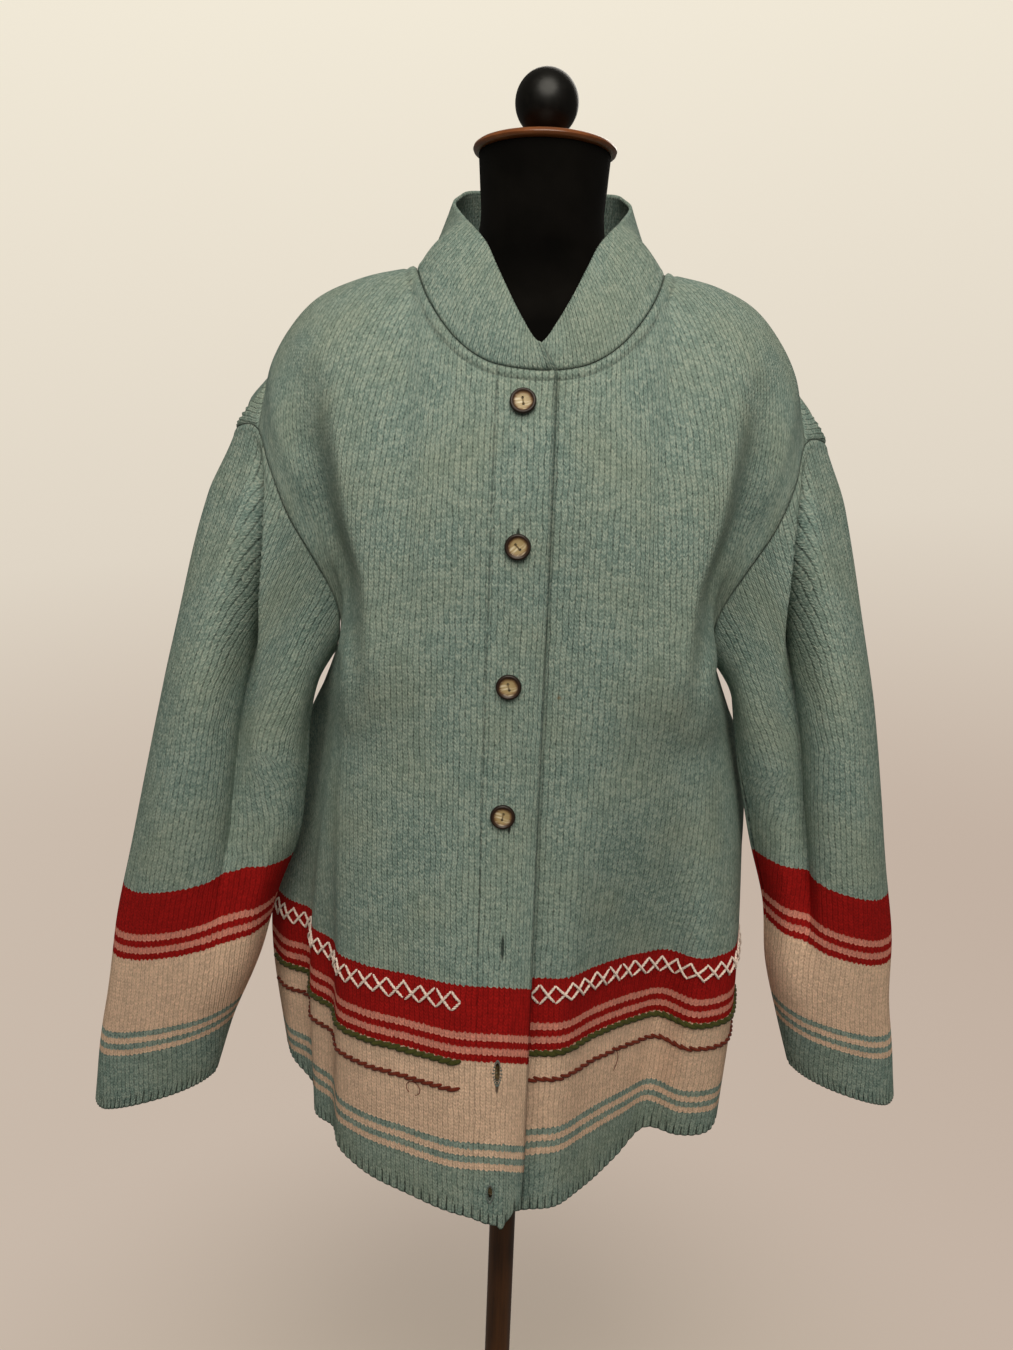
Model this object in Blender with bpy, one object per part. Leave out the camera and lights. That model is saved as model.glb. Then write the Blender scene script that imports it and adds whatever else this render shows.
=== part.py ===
"""Cardigan on a dress form: a hip-length buttoned knit jacket with a rounded stand collar and
dropped shoulders, worn by a padded form on a pole. The front faces -Y and +Z is up."""

import bpy
import numpy as np
from mathutils import Vector

# Driving dimensions in millimetres, turned to metres when a mesh is made.
MM = 0.001
WALL = 2.5          # felted wool knit
FACING_WALL = 1.2   # strip behind each front edge
COLLAR_WALL = 3.0   # collar, two layers pressed together
COLLAR_ROLL = 4.0   # the band swells outward this far halfway up
SEAM_GAP = 0.42     # each piece stops this far short of a seam line
LAYER_GAP = 0.55    # air between a front and its facing
PLACKET_WIDTH = 45.0
RIGHT_EDGE = 13.0   # right front passes the centre line by this much
LEFT_EDGE = 33.0    # left front passes the centre line the other way, underneath
UNDERLAP = 7.5      # left front lies this far behind the right one at the centre
FLAP_LIFT = 7.5     # open lower part of the right front hangs forward by this much
FLAP_TOP = 965.0
SHOULDER_LEAN = 0.008
SHOULDER_SHIFT = 2.7  # both shoulders hang over to the wearer's right
SHOULDER_CURVE = 8.0  # the shoulder rounds out this much just above the armhole
NECK_SHARE = 0.42   # share of the top edge that is neckline
NECK_SIDE = 98.0    # the neckline meets the shoulder seam this far from the centre
UNDERARM = 0.66     # share of the way up a side edge
UNDERARM_TUCK = 5.0   # a front is drawn in this much beside the underarm
LEVEL_TOP = 1300.0  # rows of the body run level up to about this height

BUTTON_RADIUS = 9.6
BUTTON_GAP = 0.65
BUTTON_DEPTH = 4.2
BUTTON_HOLE_RADIUS = 1.1
BUTTON_HOLE_APART = 4.6
BUTTON_X = -10.5
BUTTON_HEIGHTS = (1271, 1170, 1067, 966, 862, 752, 647)
BUTTONS_DONE_UP = 4

POLE_RADIUS = 12.5
POLE_ENDS = (22.9, 761.7)

# Front fold lines, from the centre line to the side seam: distance from the centre and depth,
# at the underarm, the waist, the red band and the hem.
LEVELS = (1068, 960, 810, 640)
FOLDS = {
    "right": (
        # x_arm, y_arm, x_waist, y_waist, x_band, y_band, x_hem, y_hem
        (0, -131, 0, -132, 0, -141, 0, -146),
        (50, -128, 52, -130, 51, -138, 52, -142),
        (90, -121, 94, -122, 91, -129, 94, -130),
        (120, -109, 126, -110, 125, -116, 127, -112),
        (134, -96, 142, -98, 144, -102, 146, -95),
        (140, -82, 150, -86, 154, -76, 156, -68),
        (144, -68, 159, -70, 175, -56, 174, -50),
        (148, -48, 168, -36, 185, -19, 185, -12),
        (153, -33, 182, 4, 208, -5, 205, 6),
        (160, -18, 204, 42, 229, 26, 214, 28),
    ),
    "left": (
        (0, -131, 0, -132, 0, -141, 0, -146),
        (36, -129, 36, -128, 36, -131, 36, -130),
        (72, -124, 72, -118, 70, -102, 68, -102),
        (104, -116, 104, -106, 104, -80, 98, -74),
        (124, -106, 128, -96, 128, -71, 122, -52),
        (138, -92, 150, -88, 154, -87, 150, -66),
        (146, -70, 170, -66, 182, -74, 180, -62),
        (151, -42, 186, -24, 199, -32, 196, -20),
        (160, -18, 206, 40, 206, 20, 199, 16),
    ),
    "back": (
        (-160, -18, -204, 42, -229, 26, -214, 28),
        (-156, 38, -207, 70, -208, 66, -206, 68),
        (-122, 74, -166, 85, -170, 84, -172, 84),
        (-82, 100, -112, 100, -122, 94, -124, 88),
        (-40, 110, -62, 112, -72, 116, -78, 122),
        (0, 112, -6, 110, -12, 104, -16, 100),
        (40, 110, 50, 112, 50, 118, 46, 124),
        (82, 100, 106, 100, 110, 96, 108, 90),
        (122, 74, 160, 84, 164, 88, 162, 92),
        (156, 38, 209, 67, 200, 62, 194, 62),
        (160, -18, 206, 40, 206, 20, 199, 16),
    ),
}
HEMS = {
    # share of the way from the centre line to the side seam, height of the hem
    "right": (
        (-0.013, 652), (-0.009, 641), (-0.004, 630), (0, 624), (0.03, 621), (0.1, 627),
        (0.2, 631), (0.4, 638), (0.5, 644), (0.7, 643), (0.8, 650), (0.9, 663), (1, 668),
    ),
    "left": (
        (-0.033, 640), (-0.027, 628), (-0.018, 622), (0, 621), (0.2, 618), (0.3, 621),
        (0.4, 629), (0.5, 643), (0.7, 650), (0.8, 663), (0.9, 672), (1, 668),
    ),
    "back": ((-1, 668), (-0.5, 650), (0, 642), (0.5, 648), (1, 668)),
}
NECKLINE = (
    # distance from the centre, height of the seam, height of the ridge that the chest rolls from
    (0, 1294, 1391), (14, 1295, 1391), (42, 1302, 1389), (57, 1312, 1386),
    (74, 1331, 1383), (87, 1352, 1381), (98, 1377, 1377),
)
BACK_NECKLINE = (
    (0, 1394, 1434), (35, 1392, 1430), (68, 1387, 1415), (90, 1382, 1392), (98, 1377, 1377),
)
SHOULDER_SEAM = (
    # x, y, z from the neck to the top of the armhole
    (98, 4, 1378), (140, 0, 1368), (173, -6, 1351), (194, -14, 1326),
    (205, -25, 1302), (209, -40, 1274), (212, -54, 1247),
)
CHEST = (
    # share across, depth of the chest, drop from the shoulder to that depth
    (0, -131, 228), (0.42, -127, 235), (0.6, -121, 230), (0.75, -106, 200),
    (0.88, -99, 150), (1, -98, 110),
)
SHOULDER_BLADES = (
    (0, 110, 150), (0.42, 108, 150), (0.6, 102, 140), (0.75, 92, 120),
    (0.88, 84, 100), (1, 78, 90),
)
CHEST_VALLEY = (
    # height, distance from the centre, depth
    (1030, 134, 0), (1060, 136, 7), (1093, 138, 20), (1138, 143, 28), (1183, 157, 31),
    (1226, 163, 22), (1268, 167, 10), (1300, 168, 4), (1318, 173, 0), (1400, 173, 0),
)
ARMHOLE = (
    # share of the way round from the underarm by the front, x, y, z
    (0.00, 160, -18, 1068), (0.05, 154, -34, 1085), (0.13, 156, -48, 1116),
    (0.20, 171, -62, 1149), (0.27, 188, -73, 1183), (0.34, 202, -71, 1220),
    (0.40, 212, -54, 1247), (0.50, 240, -12, 1249), (0.59, 238, 30, 1243),
    (0.68, 222, 62, 1215), (0.78, 196, 78, 1168), (0.88, 172, 62, 1118),
    (0.95, 163, 20, 1082), (1.00, 160, -18, 1068),
)
ARMHOLE_TOP = 0.40
SLEEVE_ROWS = {
    # share along the sleeve, middle x, y and z, half width, half depth, tilt of the section
    "right": (
        (0.00, 200, -12, 1159, 99, 86, -66), (0.10, 217, -22, 1112, 83, 74, -59),
        (0.22, 232, -30, 1052, 70, 64, -44), (0.36, 246, -35, 978, 66, 58, -20),
        (0.50, 260, -36, 905, 69, 54, -2), (0.62, 276, -36, 846, 68, 48, 8),
        (0.76, 291, -36, 778, 66, 41, 12), (0.89, 310, -36, 715, 61, 34, 15),
        (1.00, 323, -36, 657, 58, 27, 18),
    ),
    "left": (
        (0.00, 200, -12, 1159, 99, 86, -66), (0.10, 216, -22, 1112, 80, 74, -59),
        (0.22, 229, -30, 1052, 66, 64, -44), (0.36, 244, -35, 978, 57, 58, -20),
        (0.50, 258, -36, 908, 55, 54, 0), (0.62, 270, -36, 852, 54, 48, 10),
        (0.76, 277, -36, 790, 54, 41, 14), (0.89, 290, -36, 736, 53, 34, 16),
        (1.00, 302, -36, 688, 51, 27, 18),
    ),
}
SLEEVE_FOLDS = {
    # share round from the inner side by the front, drift to the cuff, half width, depth out,
    # lean, start and end along the sleeve
    "right": (
        (0.13, 0.02, 20, -7, 0, 0.30, 0.80), (0.62, 0.01, 26, -12, 3, -0.10, 0.60),
        (0.86, -0.02, 24, -9, 0, 0.20, 0.85), (0.45, -0.03, 24, 4, 0, 0.45, 1.05),
        (0.51, 0.00, 60, 9, 0, -0.30, 0.34),
    ),
    "left": (
        (0.15, 0.01, 20, -6, 0, 0.30, 0.80), (0.63, 0.01, 26, -10, 3, -0.10, 0.62),
        (0.85, -0.02, 24, -8, 0, 0.20, 0.85), (0.46, -0.03, 24, 4, 0, 0.45, 1.05),
        (0.51, 0.00, 60, 4, 0, -0.30, 0.34),
    ),
}
CREASE = {
    # share down the sleeve of the deep fold in front, share round, depth, half width on the inner
    # and on the outer side, share of the depth that the inner half of the sleeve keeps
    "right": (
        (0.00, 0.385, 26, 12, 32, 0), (0.07, 0.318, 44, 12, 38, 0), (0.12, 0.287, 50, 13, 42, 0.1),
        (0.18, 0.250, 48, 15, 45, 0.25), (0.25, 0.222, 42, 19, 50, 0.5),
        (0.35, 0.205, 30, 25, 54, 0.7), (0.50, 0.195, 17, 30, 58, 0.8), (0.68, 0.18, 0, 30, 60, 0.8),
        (1.00, 0.18, 0, 30, 60, 0.8),
    ),
    "left": (
        (0.00, 0.375, 26, 12, 32, 0), (0.07, 0.298, 41, 12, 38, 0), (0.12, 0.258, 46, 13, 42, 0.1),
        (0.18, 0.228, 44, 15, 45, 0.25), (0.25, 0.204, 38, 19, 50, 0.5),
        (0.35, 0.184, 27, 25, 54, 0.7), (0.50, 0.175, 15, 30, 56, 0.8), (0.68, 0.16, 0, 30, 56, 0.8),
        (1.00, 0.16, 0, 30, 56, 0.8),
    ),
}
CUFF_CORNER = 8.0   # the outer corner of a cuff is rounded up by this much
COLLAR_FRONT = (
    # seam's distance from the centre, then x, y, z of the free edge
    (-33, -20, -97, 1306), (-13, -3, -100, 1311), (0, 5, -97, 1318), (14, 12, -92, 1329),
    (42, 26, -80, 1354), (57, 34, -70, 1370), (74, 43, -56, 1388), (87, 53, -41, 1401),
    (98, 61, -25, 1410),
)
COLLAR_BACK = (
    (0, 0, 82, 1451), (35, 47, 67, 1449), (68, 68, 42, 1441), (90, 70, 8, 1424),
    (98, 61, -25, 1410),
)

FORM_ROWS = (
    # height, half width, front, back
    (762, 148, -84, 84), (766, 152, -88, 88), (776, 154, -90, 90), (800, 156, -92, 92),
    (850, 150, -94, 90), (920, 138, -96, 84), (990, 134, -98, 84), (1060, 141, -110, 90),
    (1130, 148, -117, 97), (1190, 156, -112, 94), (1240, 164, -101, 88), (1280, 168, -88, 80),
    (1316, 162, -74, 75), (1335, 147, -62, 67), (1351, 115, -50, 60), (1367, 83, -46, 55),
    (1382, 62, -46, 51), (1396, 52, -48, 49), (1410, 49, -49, 49), (1440, 50, -50, 50),
    (1461, 51.5, -51.5, 51.5),
)
CAP_PROFILE = (
    # radius, height
    (0, 1461.3), (52, 1461.3), (55, 1462.5), (56, 1464.5), (55, 1466.5), (50, 1468.5),
    (38, 1471.5), (20, 1473.7), (9, 1474.2), (0, 1474.2),
)
FORM_SIDES = 48
BALL_RADIUS = 24.6
BALL_HEIGHT = 1499.2
BASE_PROFILE = (
    (0, 0), (176, 0), (180, 3), (180, 15), (177, 19), (171, 22), (40, 24), (31, 28),
    (27, 36), (25, 52), (22, 57), (12.9, 58), (12.9, 22.55), (0, 22.55),
)

# Where each grid has its lines. Neighbours share the lines that end on their seam.
NECK_STATIONS = (0, 12, 32, 50, 66, 83, 98)
ACROSS = (0.42, 0.50, 0.57, 0.64, 0.71, 0.77, 0.83, 0.89, 0.94, 0.97, 1.0)
UP_SIDE = (
    0, 0.012, 0.05, 0.10, 0.15, 0.20, 0.25, 0.30, 0.36, 0.42, 0.48, 0.53, 0.58, 0.62, 0.66,
)
ARMHOLE_FRONT = (0.04, 0.08, 0.13, 0.18, 0.23, 0.28, 0.32, 0.36, 0.40)
ARMHOLE_BACK = (0.96, 0.92, 0.87, 0.81, 0.75, 0.69, 0.63, 0.57, 0.50, 0.45, 0.40)
DOWN_SLEEVE = (
    0, 0.03, 0.07, 0.12, 0.18, 0.25, 0.32, 0.40, 0.48, 0.56, 0.64, 0.73, 0.82, 0.91, 0.97, 1,
)
UP_COLLAR = (0, 0.3, 0.65, 1)

WOOL = (0.16, 0.22, 0.165, 1.0)
BLACK_CLOTH = (0.008, 0.007, 0.006, 1.0)
HORN = (0.30, 0.20, 0.11, 1.0)
DARK_WOOD = (0.045, 0.022, 0.010, 1.0)
TURNED_WOOD = (0.19, 0.07, 0.025, 1.0)
BLACK_PAINT = (0.015, 0.013, 0.012, 1.0)


def weights(x, knots):
    """Share of each knot in a smooth cubic through them, for every x."""
    knots = np.asarray(knots, float)
    span = np.diff(knots)
    x = np.clip(np.asarray(x, float), knots[0], knots[-1])
    i = np.clip(np.searchsorted(knots, x, side="right") - 1, 0, len(span) - 1)
    t = ((x - knots[i]) / span[i])[..., None]
    unit = np.eye(len(knots))
    slope = np.diff(unit, axis=0) / span[:, None]
    slope = np.concatenate((slope[:1], slope, slope[-1:]))
    near = np.concatenate((span[:1], span, span[-1:]))[:, None]
    tangent = (slope[:-1] * near[1:] + slope[1:] * near[:-1]) / (near[:-1] + near[1:])
    length = span[i][..., None]
    start = unit[i] * (1 - t) ** 2 * (1 + 2 * t) + tangent[i] * length * t * (1 - t) ** 2
    end = unit[i + 1] * t**2 * (3 - 2 * t) - tangent[i + 1] * length * t**2 * (1 - t)
    return start + end


def curve(t, rows):
    """Columns of a table, smoothed over its first column."""
    rows = np.array(rows, float)
    return np.moveaxis(weights(t, rows[:, 0]) @ rows[:, 1:], -1, 0)


def path(t, points):
    """A smooth line through the points, t from 0 to 1 along its length."""
    points = np.array(points, float)
    steps = np.linalg.norm(np.diff(points, axis=0), axis=1)
    knots = np.concatenate(([0], np.cumsum(steps))) / steps.sum()
    return np.moveaxis(weights(t, knots) @ points, -1, 0)


def ease(x):
    x = np.clip(x, 0, 1)
    return x * x * (3 - 2 * x)


def bump(x):
    """A soft ridge of half width 1 and height 1."""
    return 0.5 + 0.5 * np.cos(np.pi * np.clip(x, -1, 1))


def folded(share, height, folds):
    """x and y of a hanging wall, share of the way across its fold lines, at this height."""
    folds = np.array(folds, float)
    steps = np.linalg.norm(np.diff(folds[:, 4:6], axis=0), axis=1)
    across = weights(share, np.concatenate(([0], np.cumsum(steps))) / steps.sum())
    down = weights(height, LEVELS[::-1])[..., ::-1]
    lines = folds.reshape(len(folds), 4, 2)
    return np.einsum("...k,...l,kld->d...", across, down, lines)


def settle(point):
    """The cardigan sits a little higher on the wearer's left shoulder."""
    point[..., 2] += SHOULDER_LEAN * point[..., 0] * ease((point[..., 2] - 1100) / 150)
    shoulder = ease((np.abs(point[..., 0]) - 130) / 60) * ease((point[..., 2] - 1205) / 50)
    point[..., 0] -= SHOULDER_SHIFT * shoulder
    return point


def top_of(u, kind):
    """x, y, z of the top edge of a panel, with the height that the surface rolls down from."""
    x = NECK_SIDE * u / NECK_SHARE
    height, ridge = curve(x, BACK_NECKLINE if kind == "back" else NECKLINE)
    seam_x, seam_y, seam_z = path((u - NECK_SHARE) / (1 - NECK_SHARE), SHOULDER_SEAM)
    neck = u < NECK_SHARE
    y = np.where(neck, SHOULDER_SEAM[0][1], seam_y)
    z, ridge = np.where(neck, height, seam_z), np.where(neck, ridge, seam_z)
    return np.where(neck, x, seam_x), y, z, ridge


def side_of(c, v, kind):
    """x, y, z of the side edge: the side seam up to the underarm, then the armhole."""
    end = np.where((c < 0) & (kind == "back"), -1.0, 1.0)
    low = curve(end, HEMS[kind])[0]
    low = low + (ARMHOLE[0][3] - low) * np.clip(v / UNDERARM, 0, 1)
    seam_x, seam_y = folded((end + 1) / 2 if kind == "back" else end, low, FOLDS[kind])
    way = np.clip((v - UNDERARM) / (1 - UNDERARM), 0, 1)
    arm = curve(1 - way * (1 - ARMHOLE_TOP) if kind == "back" else way * ARMHOLE_TOP, ARMHOLE)
    above = v >= UNDERARM
    return [np.where(above, a, b) for a, b in zip(arm, (np.abs(seam_x), seam_y, low))], arm[0]


def draped(c, v, kind):
    """x, y, z of a panel before its edge is pulled to the seam, x from the centre line."""
    inner = c if kind == "back" else np.maximum(c, 0)
    u = np.abs(inner)
    top_x, top_y, top_z, ridge = top_of(u, kind)
    (_, _, side_z), arm_x = side_of(c, v, kind)
    (_, _, low_side), _ = side_of(c, 0 * v, kind)
    low = curve(c, HEMS[kind])[0]
    tip = SHOULDER_SEAM[-1]
    straight = low_side + (LEVEL_TOP - low_side) * v + (tip[2] - LEVEL_TOP) * v**5
    z = low + (LEVEL_TOP - low) * v + (top_z - LEVEL_TOP) * v**5 + (side_z - straight) * u**3
    hang_x, hang_y = folded((inner + 1) / 2 if kind == "back" else inner, z, FOLDS[kind])
    depth, drop = curve(u, SHOULDER_BLADES if kind == "back" else CHEST)
    roll = np.clip((ridge - z) / drop, 0, 1)
    roll_y = top_y + (depth - top_y) * np.sqrt(1 - (1 - roll) ** 2)
    roll_x = np.sign(inner) * top_x * (1 + (arm_x / tip[0] - 1) * ease((u - 0.2) / 0.55))
    hang_x = hang_x + (roll_x - hang_x) * ease((z - 1045) / 100)
    hang_y = hang_y + (roll_y - hang_y) * ease((z - 1000) / 90)
    return hang_x, hang_y, z


def panel(kind, c, v):
    """Outer surface of a body panel: c from the centre line (0) to a side (1, or -1 on the
    wearer's right of the back), v from the hem (0) to the top edge (1). On a front, c below 0
    is metres past the centre line."""
    c, v = np.broadcast_arrays(np.asarray(c, float), np.asarray(v, float))
    end = np.where((c < 0) & (kind == "back"), -1.0, 1.0)
    x, y, z = draped(c, v, kind)
    edge_x, edge_y, _ = draped(end, v, kind)
    (side_x, side_y, _), _ = side_of(c, v, kind)
    pull = np.clip((c * end - 0.62) / 0.38, 0, 1) ** 2
    x = x + (end * side_x - edge_x) * pull
    y = y + (side_y - edge_y) * pull
    if kind == "back":
        out = bump((c * end - 0.89) / 0.11) * bump((v - 0.94) / 0.06)
        return settle(np.stack((x + SHOULDER_CURVE * end * out, y, z + SHOULDER_CURVE / 2 * out), -1))
    tuck = bump((c - 0.9) / 0.1) * bump((v - UNDERARM) / 0.11)
    x = x + np.minimum(c, 0) / MM - UNDERARM_TUCK * tuck
    at, deep = curve(z, CHEST_VALLEY)
    y = y + deep * bump((x - at) / np.where(x < at, 22, 34)) * (1 - np.maximum(c, 0) ** 20) * ease((1318 - z) / 40)
    if kind == "left":
        y = y + UNDERLAP * (1 - ease((x - RIGHT_EDGE - 1) / 35))
        return settle(np.stack((x, y, z), -1))
    y = y - FLAP_LIFT * ease((FLAP_TOP - z) / 180) * (1 - ease((x - 35) / 60))
    return settle(np.stack((-x, y, z), -1))


def sleeve(kind, turn, t):
    """Outer surface of a sleeve: turn from the underarm round by the front, t down to the cuff."""
    turn, t = np.broadcast_arrays(np.asarray(turn, float), np.asarray(t, float))
    angle = 2 * np.pi * turn

    def plain(down):
        x, y, z, half, deep, tilt = curve(down, SLEEVE_ROWS[kind])
        tilt = np.radians(tilt)
        across = np.sign(np.cos(angle)) * np.abs(np.cos(angle)) ** 0.9
        along = np.sign(np.sin(angle)) * np.abs(np.sin(angle)) ** 0.9
        point = (x - half * across * np.cos(tilt), y - deep * along, z + half * across * np.sin(tilt))
        return np.stack(point, -1), half, deep

    point, half, deep = plain(t)
    seam = np.stack(curve(turn, ARMHOLE), -1)
    point = point + (seam - plain(0 * t)[0]) * (1 - ease(t / 0.3))[..., None]
    out = np.stack((-np.cos(angle), -np.sin(angle)), -1)
    side = np.stack((-out[..., 1], out[..., 0]), -1)
    girth = 2 * np.pi * np.sqrt((half**2 + deep**2) / 2)
    for at, drift, width, depth, lean, start, stop in SLEEVE_FOLDS[kind]:
        apart = (turn - at - drift * t + 0.5) % 1 - 0.5
        size = bump(apart * girth / width) * ease((t - start) / 0.2) * ease((stop - t) / 0.25)
        size = (size * ease(t / 0.08))[..., None]
        point[..., :2] += size * (depth * out + lean * side)
    at, depth, inner, outer, held = curve(t, CREASE[kind])
    apart = (turn - at) * girth
    near = (1 - held) * bump(apart / inner) + held * bump(apart / 80)
    size = depth * np.where(apart > 0, np.clip(1 - apart / outer, 0, 1) ** 2, near) * ease(t / 0.06)
    point[..., :2] -= size[..., None] * out
    point[..., 2] += CUFF_CORNER * bump((turn - 0.5) / 0.13) * ease((t - 0.85) / 0.15)
    if kind == "right":
        point[..., 0] *= -1
    return settle(point)


def collar(s, r):
    """Outer surface of the collar: r from the seam (0) to the free edge (1), s from the end on the
    right front (-2) by the shoulder seams (-1 and 1) to the end on the left front (2)."""
    s, r = np.broadcast_arrays(np.asarray(s, float), np.asarray(r, float))
    place = np.zeros(s.shape + (3,))
    for kind, sign, past in (("right", -1, RIGHT_EDGE), ("left", 1, LEFT_EDGE)):
        x = NECK_SIDE - (NECK_SIDE + past) * (sign * s - 1)
        c = np.where(x > 0, x * NECK_SHARE / NECK_SIDE, x * MM)
        seam = panel(kind, c, 1 + 0 * c)
        free = np.stack(curve(x, COLLAR_FRONT), -1) * (sign, 1, 1)
        if kind == "left":
            free[..., 1] += UNDERLAP * (1 - ease((x - RIGHT_EDGE - 1) / 35))
        free = settle(free)
        place = np.where((sign * s >= 1)[..., None], seam + (free - seam) * r[..., None], place)
    c = np.clip(s, -1, 1) * NECK_SHARE
    seam = panel("back", c, 1 + 0 * c)
    free = np.stack(curve(np.abs(c) * NECK_SIDE / NECK_SHARE, COLLAR_BACK), -1)
    free[..., 0] *= np.sign(c)
    free = settle(free)
    place = np.where((np.abs(s) < 1)[..., None], seam + (free - seam) * r[..., None], place)
    out = place[..., :2] / np.linalg.norm(place[..., :2], axis=-1, keepdims=True)
    place[..., :2] += COLLAR_ROLL * out * np.sin(np.pi * r)[..., None]
    return place


def normals(points, ring):
    """Unit normals at the points of a grid, from the faces round each point. They face outward."""
    grid_points = np.concatenate((points, points[:1])) if ring else points
    diagonals = grid_points[1:, 1:] - grid_points[:-1, :-1], grid_points[:-1, 1:] - grid_points[1:, :-1]
    face = np.cross(*diagonals)
    total = np.zeros_like(grid_points)
    for a in (np.s_[1:], np.s_[:-1]):
        for b in (np.s_[1:], np.s_[:-1]):
            total[a, b] += face
    if ring:
        total[0] += total[-1]
        total = total[:-1]
    middle = points.mean(axis=0, keepdims=True) if ring else points * (0, 0, 1)
    total *= np.sign(((points - middle) * total).sum())
    return total / np.linalg.norm(total, axis=-1, keepdims=True)


EDGES = {
    "first": (np.s_[0], np.s_[1]),
    "last": (np.s_[-1], np.s_[-2]),
    "low": (np.s_[:, 0], np.s_[:, 1]),
    "high": (np.s_[:, -1], np.s_[:, -2]),
}


def shell(name, colour, points, out, edges, wall, ring=False):
    """A closed sheet: the outer surface is the grid of points, the inner one lies a wall inside.
    A ring is joined along its first axis. The named edges stop short of their seam. Rims are cut
    along the shorter diagonal, so that two pieces that meet at a seam are cut the same way."""
    rows, columns = points.shape[:2]
    index = np.arange(rows * columns).reshape(rows, columns)
    if ring:
        index = np.concatenate((index, index[:1]))
    inside = index + rows * columns
    corners = (index[:-1, :-1], index[1:, :-1], index[1:, 1:], index[:-1, 1:])
    faces = [np.stack(corners, -1).reshape(-1, 4)]
    corners = (inside[:-1, :-1], inside[:-1, 1:], inside[1:, 1:], inside[1:, :-1])
    faces.append(np.stack(corners, -1).reshape(-1, 4))
    faces = np.concatenate(faces)
    rims = [(index[:, 0], inside[:, 0]), (inside[:, -1], index[:, -1])]
    if not ring:
        rims += [(inside[0], index[0]), (index[-1], inside[-1])]
    strips = np.concatenate([np.stack((a[1:], a[:-1], b[:-1], b[1:]), -1) for a, b in rims])
    vertices = np.concatenate((points.reshape(-1, 3), (points - wall * out).reshape(-1, 3)))
    first, second = np.linalg.norm(vertices[strips[:, 2:]] - vertices[strips[:, :2]], axis=-1).T
    split = np.where((first < second)[:, None], (0, 1, 2, 0, 2, 3), (1, 2, 3, 1, 3, 0))
    cut = np.take_along_axis(strips, split, 1).reshape(-1, 3)
    across, along = points[1:, :-1] - points[:-1, :-1], points[:-1, 1:] - points[:-1, :-1]
    if (np.cross(across, along) * out[:-1, :-1]).sum() < 0:
        faces, cut = faces[:, ::-1], cut[:, ::-1]
    moved = points.copy()
    for edge in edges:
        here, inward = EDGES[edge]
        step = points[inward] - points[here]
        seam = np.gradient(points[here], axis=0)
        seam /= np.linalg.norm(seam, axis=-1, keepdims=True)
        step -= (step * seam).sum(-1, keepdims=True) * seam
        moved[here] += SEAM_GAP * step / np.linalg.norm(step, axis=-1, keepdims=True)
    vertices = np.concatenate((moved.reshape(-1, 3), (moved - wall * out).reshape(-1, 3)))
    return add_mesh(name, colour, vertices, faces.tolist() + cut.tolist())


def add_mesh(name, colour, vertices, faces):
    mesh = bpy.data.meshes.new(name)
    mesh.from_pydata((np.asarray(vertices) * MM).tolist(), [], faces)
    mesh.validate()
    mesh.polygons.foreach_set("use_smooth", [True] * len(mesh.polygons))
    return add_object(name, colour, mesh)


def add_object(name, colour, data):
    material = bpy.data.materials.new(name)
    material.use_nodes = True
    material.node_tree.nodes["Principled BSDF"].inputs["Base Color"].default_value = colour
    material.node_tree.nodes["Principled BSDF"].inputs["Roughness"].default_value = 0.9
    material.diffuse_color = colour
    data.materials.append(material)
    thing = bpy.data.objects.new(name, data)
    bpy.context.scene.collection.objects.link(thing)
    return thing


def turned(name, colour, profile, sides=64):
    """A body of revolution about +Z. The profile starts and ends on the axis or closes on itself."""
    profile = np.array(profile, float)
    angle = np.arange(sides) * 2 * np.pi / sides
    vertices, rings = [], []
    for radius, height in profile:
        start = len(vertices)
        if radius < 1e-6:
            vertices.append((0, 0, height))
            rings.append([start] * sides)
            continue
        vertices += [(radius * np.cos(a), radius * np.sin(a), height) for a in angle]
        rings.append(list(range(start, start + sides)))
    faces = []
    for low, high in zip(rings, rings[1:]):
        for i in range(sides):
            j = (i + 1) % sides
            face = dict.fromkeys((low[i], low[j], high[j], high[i]))
            if len(face) > 2:
                faces.append(list(face))
    return add_mesh(name, colour, vertices, faces)


def share_normals(grids):
    """Gives pieces that meet at a seam one direction there, so that their walls stay side by side:
    halfway between the body and what is sewn to it."""
    met = {}
    for name, (points, normal, *_) in grids.items():
        body = name == "back" or name.startswith("front")
        for place, direction in zip(cells(points), normal.reshape(-1, 3)):
            sides = met.setdefault(place, {True: np.zeros(3), False: np.zeros(3)})
            sides[body] = sides[body] + direction
    for points, normal, *_ in grids.values():
        shared = []
        for place in cells(points):
            sides = [side for side in met[place].values() if side.any()]
            shared.append(sum(side / np.linalg.norm(side) for side in sides))
        shared = np.array(shared) / np.linalg.norm(shared, axis=-1, keepdims=True)
        normal[:] = shared.reshape(normal.shape)


def cells(points):
    """The points of a grid as small boxes of space, so that equal points can be looked up."""
    return map(tuple, np.floor(points.reshape(-1, 3) * 50 + 0.3137))


def grid(surface, a, b, edges, wall, ring=False):
    a, b = np.array(a, float), np.array(b, float)
    points = surface(a[:, None], b[None, :])
    return points, normals(points, ring), edges, wall, ring


def height_on(kind, c, height):
    """Share of the way up a front where it passes this height."""
    v = np.linspace(0, 1, 2001)
    return float(np.interp(height, panel(kind, c + 0 * v, v)[:, 2], v))


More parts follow.
